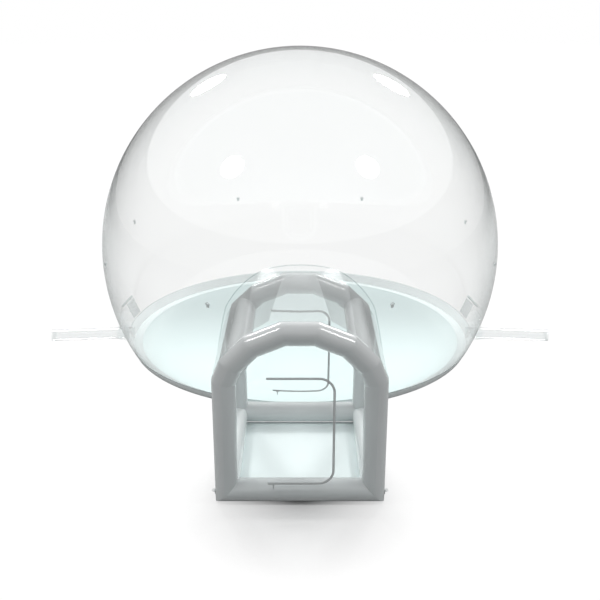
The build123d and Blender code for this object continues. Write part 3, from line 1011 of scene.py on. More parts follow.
        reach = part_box("dome_floor")[1].x
        floor_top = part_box("dome_floor")[1].z
        steps = 24
        top = [(reach * step / steps, floor_top) for step in range(steps, -1, -1)]
        floor = revolve("groundsheet", [(reach, OFF_GROUND), *top, (0.0, OFF_GROUND)], self.columns)
        dress(shade(floor, SHEET_CREASE), finishes.ground, replaces=["dome_floor"])

        low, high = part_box("floor_border")
        outline = [(high.x, low.z), (high.x, high.z - 0.0005), (high.x - 0.001, high.z)]
        inner = high.x - self.border_width
        outline += [(inner + 0.003, high.z), (inner, low.z + 0.0003), (inner, low.z)]
        border = revolve("floor_border_strip", outline, self.columns)
        cut(border, [make() for make in openings], Cut.OUTSIDE)
        dress(shade(border, SHEET_CREASE), finishes.border, replaces=["floor_border"])


# ---------------------------------------------------------------- the tunnel's air tubes
@dataclass
class TubeFrame:
    """One arch with its sill: the closed loop of air tube at an end of the tunnel.

    Attributes:
        where: "front" or "rear".
        lean: How far its top leans to the front, in degrees.
        crown_half: Half the length of the level top run.
        upper_run: Length of the next run down.
        shoulder_run: Length of the shoulder run.
        turn: Turn from one run to the next, in degrees.
        round_steps: Points round the tube.
        pinch: How far a weld draws the tube in.
        fade: How far from a weld the tube is full again.
        pucker: Depth of the puckers inside a bend.
        radius: The tube's radius, from the frame.
        half_width: Distance from the middle to the centreline of a post.
        crown: Height of the centreline of the top run.
        place: Where the frame's own plane goes, with its lean.
    """

    where: str
    lean: float = 0.0
    crown_half: float = 0.140
    upper_run: float = 0.300
    shoulder_run: float = 0.255
    turn: float = 22.5
    round_steps: int = 72
    pinch: float = 0.0010
    fade: float = 0.012
    pucker: float = 0.0010
    radius: float = field(init=False)
    half_width: float = field(init=False)
    crown: float = field(init=False)
    place: Matrix = field(init=False)

    def __post_init__(self) -> None:
        """Reads the frame's sizes from its packed tubes."""
        sill_low, sill_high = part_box(f"{self.where}_sill")
        self.radius = (sill_high.z - sill_low.z) / 2
        low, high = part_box("front_arch")
        self.half_width = high.x - self.radius
        self.crown = high.z - self.radius
        middle = Vector((0, (sill_low.y + sill_high.y) / 2, self.radius))
        tip = Matrix.Rotation(radians(self.lean), 4, "X")
        self.place = Matrix.Translation(middle) @ tip @ Matrix.Translation((0, 0, -self.radius))

    def corners(self, offset: float) -> list[Point2]:
        """Right-hand corners of the arch, top to bottom.

        Args:
            offset: Distance outside the centreline.

        Returns:
            The four corners in the plane of the frame.
        """
        x, z = self.crown_half, self.crown
        turns = [radians(self.turn * step) for step in (1, 2, 3)]
        spring = self.half_width - x - self.upper_run * cos(turns[0]) - self.shoulder_run * cos(turns[1])
        centres = [(x, z)]
        for angle, run in zip(turns, (self.upper_run, self.shoulder_run, spring / cos(turns[2]))):
            x += run * cos(angle)
            z -= run * sin(angle)
            centres.append((x, z))
        reach = offset / cos(turns[0] / 2)
        found = []
        for step, (cx, cz) in enumerate(centres):
            lean = radians(90 - self.turn * (step + 0.5))
            found.append((cx + reach * cos(lean), cz + reach * sin(lean)))
        return found

    def outline(self, offset: float) -> list[Point2]:
        """The arch's corners from the right-hand end over the top to the left-hand end."""
        right = self.corners(offset)
        return right[::-1] + [(-x, z) for x, z in right]

    def loop(self) -> list[Vector]:
        """Corners of the whole centreline: right foot, over the arch, left foot.

        Returns:
            The corners in the plane of the frame.
        """
        foot = (self.half_width, self.radius)
        flat = [foot, *self.outline(0.0), (-foot[0], foot[1])]
        return [Vector((x, 0, z)) for x, z in flat]

    def gap(self, point: Vector) -> float:
        """Distance from a point to the loop's centreline.

        Args:
            point: The point.

        Returns:
            The distance.
        """
        local = self.place.inverted() @ point
        corners = self.loop()
        nearest = 9.0
        for start, stop in zip(corners, corners[1:] + corners[:1]):
            along = stop - start
            share = max(0.0, min(1.0, (local - start).dot(along) / along.length_squared))
            nearest = min(nearest, (local - start - along * share).length)
        return nearest

    def distances(self, length: float) -> list[float]:
        """Distances along a run where the tube has a ring of points, closer together at its welds.

        Args:
            length: The run's length.

        Returns:
            The distances, from 0 to the length.
        """
        near = [0.0, 0.004, 0.010, 0.018, 0.030, 0.048]
        middle = 6
        inside = [near[-1] + (length - 2 * near[-1]) * step / middle for step in range(1, middle)]
        return near + inside + [length - value for value in reversed(near)]

    def drawn_in(self, distance: float, turn: float) -> float:
        """Radius of the tube at a distance from a weld.

        Args:
            distance: Distance from the nearest weld.
            turn: Direction round the tube; 0 is the outside of the bend.

        Returns:
            The radius.
        """
        close = exp(-((distance / self.fade) ** 2))
        wide = exp(-((distance / (3 * self.fade)) ** 2))
        inner = max(0.0, -cos(turn)) ** 2
        folds = self.pucker * wide * (1 - close) * inner * (0.5 + 0.5 * cos(26 * turn))
        return self.radius - self.pinch * close - folds

    def run_of_tube(self, name: str, corners: Sequence[Vector], mitres: Sequence[Vector]) -> bpy.types.Object:
        """A tube through corners, mitred at each.

        Args:
            name: The piece's name.
            corners: The centreline's corners.
            mitres: Normal of the mitre plane at each corner.

        Returns:
            The closed piece.
        """
        side = Vector((0, 1, 0))
        turns = [2 * pi * step / self.round_steps for step in range(self.round_steps)]
        rows = []
        for index, (start, stop) in enumerate(zip(corners, corners[1:])):
            along = (stop - start).normalized()
            out = side.cross(along)
            length = (stop - start).length
            for distance in self.distances(length)[(1 if index else 0):]:
                row = []
                for turn in turns:
                    weld = min(distance, length - distance)
                    around = (out * cos(turn) + side * sin(turn)) * self.drawn_in(weld, turn)
                    ends = []
                    for corner, normal in ((start, mitres[index]), (stop, mitres[index + 1])):
                        ends.append(corner + around - along * (around.dot(normal) / along.dot(normal)))
                    full = ends[1] - ends[0]
                    row.append(self.place @ (ends[0] + full * (distance / length)))
                rows.append(row)
        points = [point for row in rows for point in row]
        count = self.round_steps
        faces = grid_faces(len(rows), count, wrap=True)
        faces += [tuple(range(count)), tuple(range(len(points) - count, len(points)))]
        return shade(piece_from(name, points, faces), MITRE_CREASE)

    def mitres(self) -> list[Vector]:
        """Normals of the mitre planes at the loop's corners.

        Returns:
            One normal for each corner.
        """
        corners = self.loop()
        normals = []
        for before, here, after in zip(corners[-1:] + corners[:-1], corners, corners[1:] + corners[:1]):
            normals.append(((after - here).normalized() + (here - before).normalized()).normalized())
        return normals

    def build(self, finishes: Finishes) -> None:
        """Builds the arch with its posts, and the sill.

        Args:
            finishes: The tent's materials.
        """
        corners, mitres = self.loop(), self.mitres()
        arch = self.run_of_tube(f"{self.where}_arch_tube", corners, mitres)
        dress(arch, finishes.tube, replaces=[f"{self.where}_arch"])
        sill = self.run_of_tube(f"{self.where}_sill_tube", [corners[-1], corners[0]], [mitres[-1], mitres[0]])
        dress(sill, finishes.tube, replaces=[f"{self.where}_sill"])


@dataclass
class Tunnel:
    """The joining tubes, the clear skin and the floors between the two frames.

    Attributes:
        front: The front frame.
        rear: The rear frame.
        dome: The dome.
        sheet: Thickness of the skin.
        skin_offset: The skin's distance outside the tubes' centreline.
        skin_start: How far behind the front tubes' middle the skin starts.
        roof_front_half: Half the width of the roof's top panel at the front.
        shoulder_share: Where the shoulder tube lies along its run.
        shoulder_inset: How far it lies inside the frames' centreline.
        sag: How far the roof panels hang between the frames.
        neck_knots: (x, z) on the dome of the sleeve's line from the arch's right-hand corners to the ground.
        neck_low: Height of the sleeve's foot over the ground.
        flange: Width of the weld between the sleeve and the dome.
        weld: Thickness of that weld.
        ground_sheet: Thickness of the groundsheet.
        puff: How far the middle of the groundsheet stands over its rim.
    """

    front: TubeFrame
    rear: TubeFrame
    dome: Dome
    sheet: float = 0.0015
    skin_offset: float = 0.106
    skin_start: float = 0.022
    roof_front_half: float = 0.264
    shoulder_share: float = 0.72
    shoulder_inset: float = 0.011
    sag: float = 0.004
    neck_knots: tuple[Point2, ...] = (
        (0.190, 1.737), (0.470, 1.634), (0.715, 1.372), (0.820, 1.060), (1.000, 0.002))
    neck_low: float = 0.001
    flange: float = 0.012
    weld: float = 0.0012
    ground_sheet: float = 0.001
    puff: float = 0.0015

    def joining_tube(self, name: str, x: float, z: float) -> bpy.types.Object:
        """An air tube along Y whose ends fit against both frames.

        Args:
            name: The piece's name.
            x: Its centreline's place across the tunnel.
            z: Its centreline's height.

        Returns:
            The closed piece.
        """
        frame_tube = self.front
        count = frame_tube.round_steps
        lines = []
        for step in range(count):
            turn = 2 * pi * step / count
            across = Vector((cos(turn), 0, sin(turn)))
            place = Vector((x, 0, z)) + across * frame_tube.radius
            lines.append((across, self.meeting(self.front, place), self.meeting(self.rear, place)))
        rows = []
        for index in range(len(frame_tube.distances(1.0))):
            row = []
            for across, start, stop in lines:
                distance = frame_tube.distances(stop - start)[index]
                weld = min(distance, stop - start - distance)
                radius = frame_tube.drawn_in(weld, 0.0)
                row.append(Vector((x, start + distance, z)) + across * radius)
            rows.append(row)
        points = [point for row in rows for point in row]
        faces = grid_faces(len(rows), count, wrap=True)
        for first in (0, len(points) - count):
            rim = points[first:first + count]
            hub = len(points)
            points.append(sum(rim, Vector()) / count)
            faces += [(first + i, first + (i + 1) % count, hub) for i in range(count)]
        return shade(piece_from(name, points, faces), MITRE_CREASE)

    def meeting(self, tube_frame: TubeFrame, place: Vector) -> float:
        """Where a line along Y first touches a frame's tube, coming from the tunnel's middle.

        Args:
            tube_frame: The frame.
            place: Any point on the line.

        Returns:
            The Y of the meeting point.
        """
        middle = (self.front.place.translation.y + self.rear.place.translation.y) / 2
        lean = tube_frame.place.to_3x3() @ Vector((0, 0, 1))
        far = tube_frame.place.translation.y + lean.y / lean.z * place.z
        clear, touching = middle, far
        for _ in range(24):
            half = (clear + touching) / 2
            if tube_frame.gap(Vector((place.x, half, place.z))) > tube_frame.radius:
                clear = half
            else:
                touching = half
        return clear

    def panels(self, corners: Sequence[Vector], steps: int) -> list[Vector]:
        """Points along an outline, with the same number of steps on each side of it.

        Args:
            corners: The outline's corners.
            steps: Steps on each side.

        Returns:
            The points, from the first corner to the last.
        """
        line = []
        for start, stop in zip(corners, corners[1:]):
            line += [start.lerp(stop, step / steps) for step in range(steps)]
        return line + [corners[-1]]

    def roof(self) -> bpy.types.Object:
        """The clear roof over the two arches, in flat panels that sag a little.

        Returns:
            The closed piece.
        """
        steps, rows = 6, 14
        offset = self.skin_offset
        far = [self.rear.place @ Vector((x, 0, z)) for x, z in self.rear.outline(offset)]
        front_line = self.front.outline(offset)
        middle = len(front_line) // 2
        front_line[middle - 1] = (self.roof_front_half, self.front.crown + offset)
        front_line[middle] = (-self.roof_front_half, self.front.crown + offset)
        start_y = self.front.place.translation.y + self.skin_start
        near = [Vector((x, start_y, z)) for x, z in front_line]
        near_line, far_line = self.panels(near, steps), self.panels(far, steps)
        surface_rows = []
        for row in range(rows + 1):
            share = row / rows
            line = []
            for index, (a, b) in enumerate(zip(near_line, far_line)):
                across = (index % steps) / steps
                hang = self.sag * sin(pi * share) * sin(pi * across)
                line.append(a.lerp(b, share) + Vector((0, 0, -hang)))
            surface_rows.append(line)
        return thicken(surface("tunnel_roof_film", surface_rows), self.sheet, MITRE_CREASE)

    def wall(self, side: Side) -> bpy.types.Object:
        """A clear side wall between the frames.

        Args:
            side: Which side of the tunnel.

        Returns:
            The closed piece.
        """
        near_x = side.value * (self.front.half_width + self.skin_offset)
        low, high = 0.040, self.front.corners(self.skin_offset)[-1][1] - 0.0005
        start_y = self.front.place.translation.y + self.skin_start
        rows = []
        for row in range(13):
            height = low + (high - low) * row / 12
            start = Vector((near_x, start_y, height))
            stop = self.rear.place @ Vector((near_x, 0, height))
            hang = Vector((-side.value * self.sag * sin(pi * row / 12), 0, 0))
            rows.append([start.lerp(stop, k / 16) + hang * sin(pi * k / 16) for k in range(17)])
        piece = surface(f"tunnel_wall_film_{side.label}", rows)
        return thicken(piece, self.sheet)

    def neck_line(self, steps: int) -> list[Vector]:
        """The sleeve's smooth line on the dome, from the right foot to the left foot.

        Args:
            steps: Points from one knot to the next.

        Returns:
            The line's points.
        """
        knots = [*self.neck_knots[::-1], *[(-x, z) for x, z in self.neck_knots]]
        return [self.dome.front_point(x, z, 0.0015) for x, z in smooth_line(knots, steps)]

    def neck(self) -> bpy.types.Object:
        """The clear sleeve that widens from the rear arch to the dome.

        Returns:
            The closed piece.
        """
        steps, rows = 10, 10
        offset = self.skin_offset
        foot = (self.rear.half_width + offset, self.neck_low)
        outline = [foot, *self.rear.outline(offset), (-foot[0], foot[1])]
        near = self.panels([self.rear.place @ Vector((x, 0, z)) for x, z in outline], steps)
        far = self.neck_line(steps)
        lines = [[a.lerp(b, row / rows) for a, b in zip(near, far)] for row in range(rows + 1)]
        for line in lines:
            for point in line:
                point.z = max(point.z, self.neck_low)
        return thicken(surface("neck_sleeve_film", lines), self.sheet, MITRE_CREASE)

    def neck_weld(self) -> bpy.types.Object:
        """The welded flange where the sleeve meets the dome.

        Returns:
            The closed piece.
        """
        line = self.neck_line(10)
        rows = [[], []]
        for before, here, after in zip(line[:1] + line[:-1], line, line[1:] + line[-1:]):
            normal = (here - self.dome.centre).normalized()
            away = normal.cross(after - before).normalized()
            rows[0].append(self.dome.pressed(here, 0.0006))
            rows[1].append(self.dome.pressed(here + away * self.flange, 0.0006))
        for row in rows:
            for point in row:
                point.z = max(point.z, self.neck_low)
        return thicken(surface("neck_weld", rows), self.weld, FOLD_CREASE)

    def ground(self, node: str, name: str) -> bpy.types.Object:
        """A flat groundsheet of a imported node's size, with a rim a little lower than its middle.

        Args:
            node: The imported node.
            name: The piece's name.

        Returns:
            The closed piece.
        """
        low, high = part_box(node)
        steps = 20
        rows = []
        for row in range(steps + 1):
            y = low.y + (high.y - low.y) * row / steps
            line = []
            for column in range(steps + 1):
                x = low.x + (high.x - low.x) * column / steps
                rise = self.puff * (1 + sin(pi * row / steps) * sin(pi * column / steps))
                line.append(Vector((x, y, rise)))
            rows.append(line)
        return thicken(surface(name, rows), self.ground_sheet)

    def build(self, finishes: Finishes) -> None:
        """Builds every piece of the tunnel but its end frames and doors.

        Args:
            finishes: The tent's materials.
        """
        corners = self.front.corners(-self.shoulder_inset)
        upper, lower = Vector((*corners[1], 0)), Vector((*corners[2], 0))
        shoulder = upper.lerp(lower, self.shoulder_share)
        for side in Side:
            for kind, x, z in (("shoulder", shoulder.x, shoulder.y),
                               ("floor", self.front.half_width, self.front.radius)):
                tube = self.joining_tube(f"{kind}_air_tube_{side.label}", side.value * x, z)
                # The floor tubes take the lighter copy of the vinyl, painted light against the tunnel's
                # shade.
                vinyl = finishes.painted_light_tube if kind == "floor" else finishes.tube
                dress(tube, vinyl, replaces=[f"{kind}_tube_{side.label}"])
            wall = self.wall(side)
            dress(wall, finishes.tunnel_film, replaces=[f"tunnel_wall_{side.label}"])
        roof = self.roof()
        dress(roof, finishes.tunnel_film, replaces=["tunnel_roof"])
        neck = self.neck()
        dress(neck, finishes.neck_film, replaces=["neck_sleeve"])
        weld = self.neck_weld()
        dress(weld, finishes.weld)
        # The tunnel's and the neck's floors take the lighter groundsheet colour, painted light against the
        # tunnel's shade.
        floor = self.ground("tunnel_floor", "tunnel_groundsheet")
        dress(floor, finishes.painted_light_tunnel_ground, replaces=["tunnel_floor"])
        dress_node("neck_floor", finishes.painted_light_tunnel_ground)


def dress_node(node: str, material: bpy.types.Material) -> None:
    """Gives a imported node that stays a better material.

    Args:
        node: The node's name.
        material: Its new material.
    """
    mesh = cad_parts[node].data
    mesh.materials.clear()
    mesh.materials.append(material)


# ---------------------------------------------------------------- doors
@dataclass
class Door:
    """A clear flap with a C-shaped zip, its hinge side on the left.

    Attributes:
        label: "front" or "inner".
        body: The body that the flap rides on.
        width: Width of the zip's line.
        height: Height of the zip's line.
        corner: Radius of its two corners.
        gap: Room between the flap and its frame along the zip.
        hinge_gap: Room along the hinge side.
        pitch: Distance from one tooth to the next on the same side.
        first_tooth: Distance of the first and the last tooth from the hinge side.
    """

    label: str
    body: Body
    width: float
    height: float
    corner: float
    gap: float = 0.003
    hinge_gap: float = 0.001
    pitch: float = 0.006
    first_tooth: float = 0.016

    def outline(self, grow: float, hinge_gap: float = 0.0) -> list[Point2]:
        """The door's outline, grown on its three zip sides.

        Args:
            grow: How far it grows; less than 0 to shrink.
            hinge_gap: How far the hinge side moves in.

        Returns:
            The corners, anticlockwise from the lower hinge corner.
        """
        left = -self.width / 2 + hinge_gap
        right, half = self.width / 2 + grow, self.height / 2 + grow
        radius = self.corner + grow
        points = [(left, -half)]
        for middle_y, first in ((-half + radius, -90.0), (half - radius, 0.0)):
            for step in range(15):
                turn = radians(first + 90.0 * step / 14)
                points.append((right - radius + radius * cos(turn), middle_y + radius * sin(turn)))
        return points + [(left, half)]

    def zip_stations(self, grow: float, start: float) -> list[tuple[Vector, Vector]]:
        """Places along the zip's line and the direction out of the door there.

        Args:
            grow: How far outside the zip's line.
            start: Where the first place is along the line, no nearer the hinge side than the first tooth.

        Returns:
            Pairs of place and outward direction, in the door's plane.
        """
        line = [Vector((x, y, 0)) for x, y in self.outline(grow)]
        stations = []
        left_over = start
        for here, there in zip(line, line[1:]):
            run = there - here
            along = run.normalized()
            distance = left_over
            while distance < run.length:
                stations.append((here + along * distance, Vector((along.y, -along.x, 0))))
                distance += self.pitch
            left_over = distance - run.length
        nearest = line[0].x + self.first_tooth
        return [(place, out) for place, out in stations if place.x >= nearest]

    def teeth(self, name: str, outside: bool, lift: Callable[[Vector], Vector]) -> bpy.types.Object:
        """One side of the zip's teeth, as one piece of many small blocks.

        Args:
            name: The piece's name.
            outside: True for the frame's side of the zip.
            lift: Turns a place in the door's plane and a height over it into a point.

        Returns:
            The piece.
        """
        middle = -self.gap / 2
        reach = 0.0045
        sign = 1.0 if outside else -1.0
        points, faces = [], []
        for place, out in self.zip_stations(middle, self.first_tooth + (0.0 if outside else self.pitch / 2)):
            along = Vector((-out.y, out.x, 0))
            first = len(points)
            for height, slim in ((0.0008, 1.0), (0.0036, 0.7)):
                for across, side in ((-0.0007, -1), (-0.0007, 1), (reach, 1), (reach, -1)):
                    flat = place + out * (sign * across) + along * (side * 0.0012 * slim)
                    points.append(lift(flat + Vector((0, 0, height))))
            for quad in ((0, 1, 2, 3), (4, 5, 6, 7), (0, 1, 5, 4), (1, 2, 6, 5), (2, 3, 7, 6), (3, 0, 4, 7)):
                faces.append(tuple(first + i for i in quad))
        return shade(piece_from(name, points, faces), 30.0)

    def build_zip(self, finishes: Finishes, lift: Callable[[Vector], Vector]) -> None:
        """Builds the teeth on both sides and dresses the tapes and the slider.

        Args:
            finishes: The tent's materials.
            lift: Turns a place in the door's plane and a height over it into a point.
        """
        for outside, word, body in ((True, "frame", Body.TENT), (False, "door", self.body)):
            row = self.teeth(f"{self.label}_zip_teeth_{word}", outside, lift)
            dress(row, finishes.teeth, body)
            dress_node(f"{self.label}_zip_{word}_tape", finishes.tape)
        dress_node(f"{self.label}_zip_slider", finishes.zinc)


@dataclass
class FrontEnd:
    """The clear end wall on the front arch, with its door.

    Attributes:
        tubes: The front frame.
        door: The door in the wall.
        sheet: Thickness of the wall and of the flap.
        edge: How far the wall reaches past the tubes' centreline.
    """

    tubes: TubeFrame
    door: Door
    sheet: float = 0.0015
    edge: float = 0.012

    def plane(self) -> Matrix:
        """The wall's outer face, looking out of the tunnel, at the door's middle.

        Returns:
            The plane as a matrix.
        """
        low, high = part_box("front_door")
        middle_z = (low.z + high.z) / 2
        turned = Matrix(((1, 0, 0), (0, 0, -1), (0, 1, 0))).to_4x4()
        return Matrix.Translation((0, low.y, middle_z)) @ turned

    def build(self, finishes: Finishes) -> None:
        """Builds the wall, the flap and the zip.

        Args:
            finishes: The tent's materials.
        """
        plane = self.plane()
        middle_z = plane.translation.z
        right = [(self.tubes.half_width + self.edge, 0.092), *self.tubes.corners(self.edge)[::-1]]
        outline = right + [(-x, z) for x, z in reversed(right)]
        outline = [(x, z - middle_z) for x, z in outline]
        wall = holed_sheet("front_wall_film", outline, self.door.outline(0.0)[::-1], plane, self.sheet)
        dress(shade(wall, SHEET_CREASE), finishes.tunnel_film, replaces=["front_panel"])
        flap = prism("front_door_flap", self.door.outline(-self.door.gap, self.door.hinge_gap), plane,
                     -self.sheet, 0.0)
        dress(shade(flap, SHEET_CREASE), finishes.tunnel_film, Body.FRONT_DOOR, ["front_door"])
        tape_top = 0.0025
        self.door.build_zip(finishes, lambda flat: plane @ (flat + Vector((0, 0, tape_top))))


@dataclass
class InnerEnd:
    """The door in the dome's wall.

    Attributes:
        dome: The dome.
        door: The door.
        middle: Height of the door's middle.
        depth: How far the cutting shapes reach to both sides of the wall.
    """

    dome: Dome
    door: Door
    middle: float = 0.765
    depth: float = 0.25

    def plane(self) -> Matrix:
        """The plane on the dome at the door's middle."""
        return self.dome.plane(-90.0, self.middle)

    def opening(self) -> bpy.types.Object:
        """The shape that cuts the door's opening out of the canopy."""
        return prism("door_cutter", self.door.outline(0.0), self.plane(), -self.depth, self.depth)

    def build(self, finishes: Finishes) -> None:
        """Builds the flap and the zip.

        Args:
            finishes: The tent's materials.
        """
        plane = self.plane()
        flap = self.dome.patch("inner_door_flap", self.door.width + 0.1, self.door.height + 0.1, plane,
                               -self.dome.film, 0.0)
        outline = self.door.outline(-self.door.gap, self.door.hinge_gap)
        shape = prism("flap_cutter", outline, plane, -self.depth, self.depth)
        cut(flap, [shape], Cut.INSIDE)
        dress(self.dome.round_off(flap), finishes.film, Body.INNER_DOOR, ["inner_door"])
        tape_top = 0.0025

        def lift(flat: Vector) -> Vector:
            """Puts a place in the door's plane on the dome.

            Args:
                flat: The place; its z is the height over the tape.

            Returns:
                The point.
            """
            spot = Vector((flat.x, flat.y, 0))
            deep = sqrt(self.dome.radius**2 - spot.length_squared) - self.dome.radius
            return self.dome.pressed(plane @ (spot + Vector((0, 0, deep))), tape_top + flat.z)

        self.door.build_zip(finishes, lift)


# ---------------------------------------------------------------- vents and ducts
@dataclass
class Vent:
    """A net window low in the dome's wall, with its cover rolled up above it.

    Attributes:
        dome: The dome.
        side: Which side of the tent.
        azimuth: How far behind the tent's side it is, in degrees.
        height: Height of its middle.
        width: Width of the opening.
        tall: Height of the opening.
        border: Width of the welded border.
        roll_radius: Radius of the rolled cover.
        roll_length: Length of the roll.
        roll_shift: How far the roll is set to the front.
        roll_film: Thickness of the rolled film.
        strap_place: Distance of each strap from the roll's middle.
        strap_half: Half the width of a strap.
    """

    dome: Dome
    side: Side
    azimuth: float = 7.8
    height: float = 0.222
    width: float = 0.250
    tall: float = 0.190
    border: float = 0.014
    roll_radius: float = 0.016
    roll_length: float = 0.390
    roll_shift: float = 0.035
    roll_film: float = 0.0012
    strap_place: float = 0.105
    strap_half: float = 0.007

    def plane(self) -> Matrix:
        """The plane on the dome at the vent's middle."""
        azimuth = self.azimuth if self.side is Side.RIGHT else 180.0 - self.azimuth
        return self.dome.plane(azimuth, self.height)

    def rectangle(self, grow: float) -> list[Point2]:
        """Corners of the opening, grown all round."""
        x, y = self.width / 2 + grow, self.tall / 2 + grow
        return [(-x, -y), (x, -y), (x, y), (-x, y)]

    def opening(self) -> bpy.types.Object:
        """The shape that cuts the vent out of the canopy."""
        return prism("vent_cutter", self.rectangle(0.0), self.plane(), -0.12, 0.12)

    def roll_place(self) -> Matrix:
        """The middle of the roll, with its axis along z.

        Returns:
            The place as a matrix.
        """
        up = self.tall / 2 + self.border + self.roll_radius + 0.004
        drop = up**2 / (2 * self.dome.radius)
        out = self.roll_radius + 0.007 - drop
        shift = Matrix.Translation((-self.side.value * self.roll_shift, up, out))
        return self.plane() @ shift @ Matrix.Rotation(pi / 2, 4, "Y")

    def roll(self) -> bpy.types.Object:
        """The cover film, rolled up from its lower edge.

        Returns:
            The closed piece.
        """
        turns, steps, columns = 3.4, 150, 26
        place = self.roll_place()
        rows = []
        for step in range(steps + 1):
            share = step / steps
            angle = 2 * pi * turns * share
            line = []
            for column in range(columns + 1):
                along = column / columns - 0.5
                loose = 0.0006 * sin(9 * along + 5 * share) * share
                radius = 0.004 + (self.roll_radius - 0.0062) * share + loose
                spot = Vector((radius * cos(angle), radius * sin(angle), self.roll_length * along))
                line.append(place @ spot)
            rows.append(line)
        return thicken(surface(f"vent_cover_roll_{self.side.label}", rows), self.roll_film, FOLD_CREASE)

    def strap(self, step: int) -> bpy.types.Object:
        """One strap round the roll.

        Args:
            step: 1 for the outer strap, -1 for the inner one.

        Returns:
            The closed piece.
        """
        middle = step * self.strap_place
        wide, slim = self.strap_half, self.strap_half - 0.0005
        outer, inner = self.roll_radius + 0.0018, self.roll_radius + 0.0004
        band = [(inner, middle - wide), (outer, middle - slim)]
        band += [(outer, middle + slim), (inner, middle + wide)]
        word = "outer" if step > 0 else "inner"
        return revolve(f"vent_strap_{word}_{self.side.label}", band, 40, self.roll_place())

    def build(self, finishes: Finishes) -> None:
        """Builds the border, the net, the roll and its straps.

        Args:
            finishes: The tent's materials.
        """
        label = self.side.label
        plane = self.plane()
        surround = self.dome.patch(f"vent_border_{label}", self.width + 0.1, self.tall + 0.1, plane,
                                   0.0006, 0.0022)
        outer = prism("border_outer", self.rectangle(self.border), plane, -0.1, 0.1)
        cut(surround, [outer], Cut.INSIDE)
        inner = prism("border_inner", self.rectangle(-0.006), plane, -0.1, 0.1)
        cut(surround, [inner], Cut.OUTSIDE)
        dress(shade(surround, SHEET_CREASE), finishes.weld, replaces=[f"vent_frame_{label}"])
        net = self.dome.patch(f"vent_net_{label}", self.width - 0.001, self.tall - 0.001, plane,
                              -0.0012, -0.0004)
        dress(shade(net, SHEET_CREASE), finishes.net, replaces=[f"vent_mesh_{label}"])
        roll = self.roll()
        dress(roll, finishes.rolled, replaces=[f"vent_roll_{label}"])
        for step in (-1, 1):
            strap = self.strap(step)
            dress(shade(strap, 40.0), finishes.webbing, replaces=[f"vent_ties_{label}"])


@dataclass
class Duct:
    """An air sleeve at the ground, from the dome's wall to its open end.

    Attributes:
        dome: The dome.
        side: Which side of the tent.
        azimuth: How far before the tent's side it points, in degrees.
        height: Height of its middle.
        radius: Outside radius.
        film: Thickness of the film.
        reach: Distance of its open end from the tent's middle.
        collar_radius: Radius of the collar at the dome.
        collar_length: How far the collar stands out.
    """

    dome: Dome
    side: Side
    azimuth: float = -5.3
    height: float = 0.076
    radius: float = 0.070
    film: float = 0.0012
    reach: float = 3.257
    collar_radius: float = 0.132
    collar_length: float = 0.150

    def place(self) -> Matrix:
        """The duct's line: z runs out along it from the tent's middle.

        Returns:
            The line as a matrix.
        """
        azimuth = self.azimuth if self.side is Side.RIGHT else 180.0 - self.azimuth
        turn = Matrix.Rotation(radians(azimuth), 4, "Z") @ Matrix.Rotation(pi / 2, 4, "Y")
        return Matrix.Translation((0, 0, self.height)) @ turn

    def wall_at(self) -> float:
        """Distance of the dome's wall from the tent's middle, at the duct's height."""
        return sqrt(self.dome.radius**2 - (self.height - self.dome.centre.z) ** 2)

    def opening(self) -> bpy.types.Object:
        """The shape that cuts the duct's hole out of the wall."""
        bar = [(0.0, 1.9), (self.radius + 0.0004, 1.9), (self.radius + 0.0004, 2.6), (0.0, 2.6)]
        return revolve("duct_cutter", bar, 64, self.place())

    def build(self, finishes: Finishes) -> None:
        """Builds the sleeve, its hem and its collar.

        Args:
            finishes: The tent's materials.
        """
        label = self.side.label
        start, steps = self.wall_at() - 0.045, 40
        outer, inner = [], []
        for step in range(steps + 1):
            along = start + (self.reach - start) * step / steps
            slack = 0.0010 * (1 - cos(2 * pi * 5 * step / steps)) / 2
            outer.append((self.radius - slack, along))
            inner.append((self.radius - slack - self.film, along))
        sleeve = revolve(f"air_sleeve_{label}", outer + inner[::-1], 72, self.place())
        dress(shade(sleeve, SHEET_CREASE), finishes.sleeve, replaces=[f"duct_sleeve_{label}"])
        low, high = self.reach - 0.042, self.reach - 0.004
        hem = [(self.radius + 0.0005, low)]
        for step in range(7):
            swell = sin(pi * step / 6)
            hem.append((self.radius + 0.0012 + 0.0014 * swell, low + (high - low) * step / 6))
        hem.append((self.radius + 0.0005, high))
        cuff = revolve(f"sleeve_hem_{label}", hem, 72, self.place())
        dress(shade(cuff, 50.0), finishes.sleeve, replaces=[f"duct_cuff_{label}"])
        self.build_collar(finishes)

    def build_collar(self, finishes: Finishes) -> None:
        """Builds the flared collar, cut to the dome and to the ground.

        Args:
            finishes: The tent's materials.
        """
        label = self.side.label
        first = self.wall_at() - 0.030
        last = self.wall_at() + self.collar_length + 0.030
        steps = 20
        narrow = self.radius + 0.0032
        outer = []
        for step in range(steps + 1):
            share = step / steps
            radius = self.collar_radius + (narrow - self.collar_radius) * share
            outer.append((radius, first + (last - first) * share))
        inner = [(radius - 0.0018, along) for radius, along in reversed(outer)]
        collar = revolve(f"sleeve_collar_{label}", outer + inner, 96, self.place())
        ball = revolve("ball_cutter", self.dome.arc(0.0, 1.2, 0.0008, 48) + [(0.0, 1.2), (0.0, 0.0)], 256)
        under = prism("ground_cutter", [(-4, -4), (4, -4), (4, 4), (-4, 4)], Matrix(), -1.0, 0.0006)
        cut(collar, [ball, under], Cut.OUTSIDE)
        shade(collar, SHEET_CREASE)
        dress(collar, finishes.tunnel_film, replaces=[f"duct_collar_{label}"])


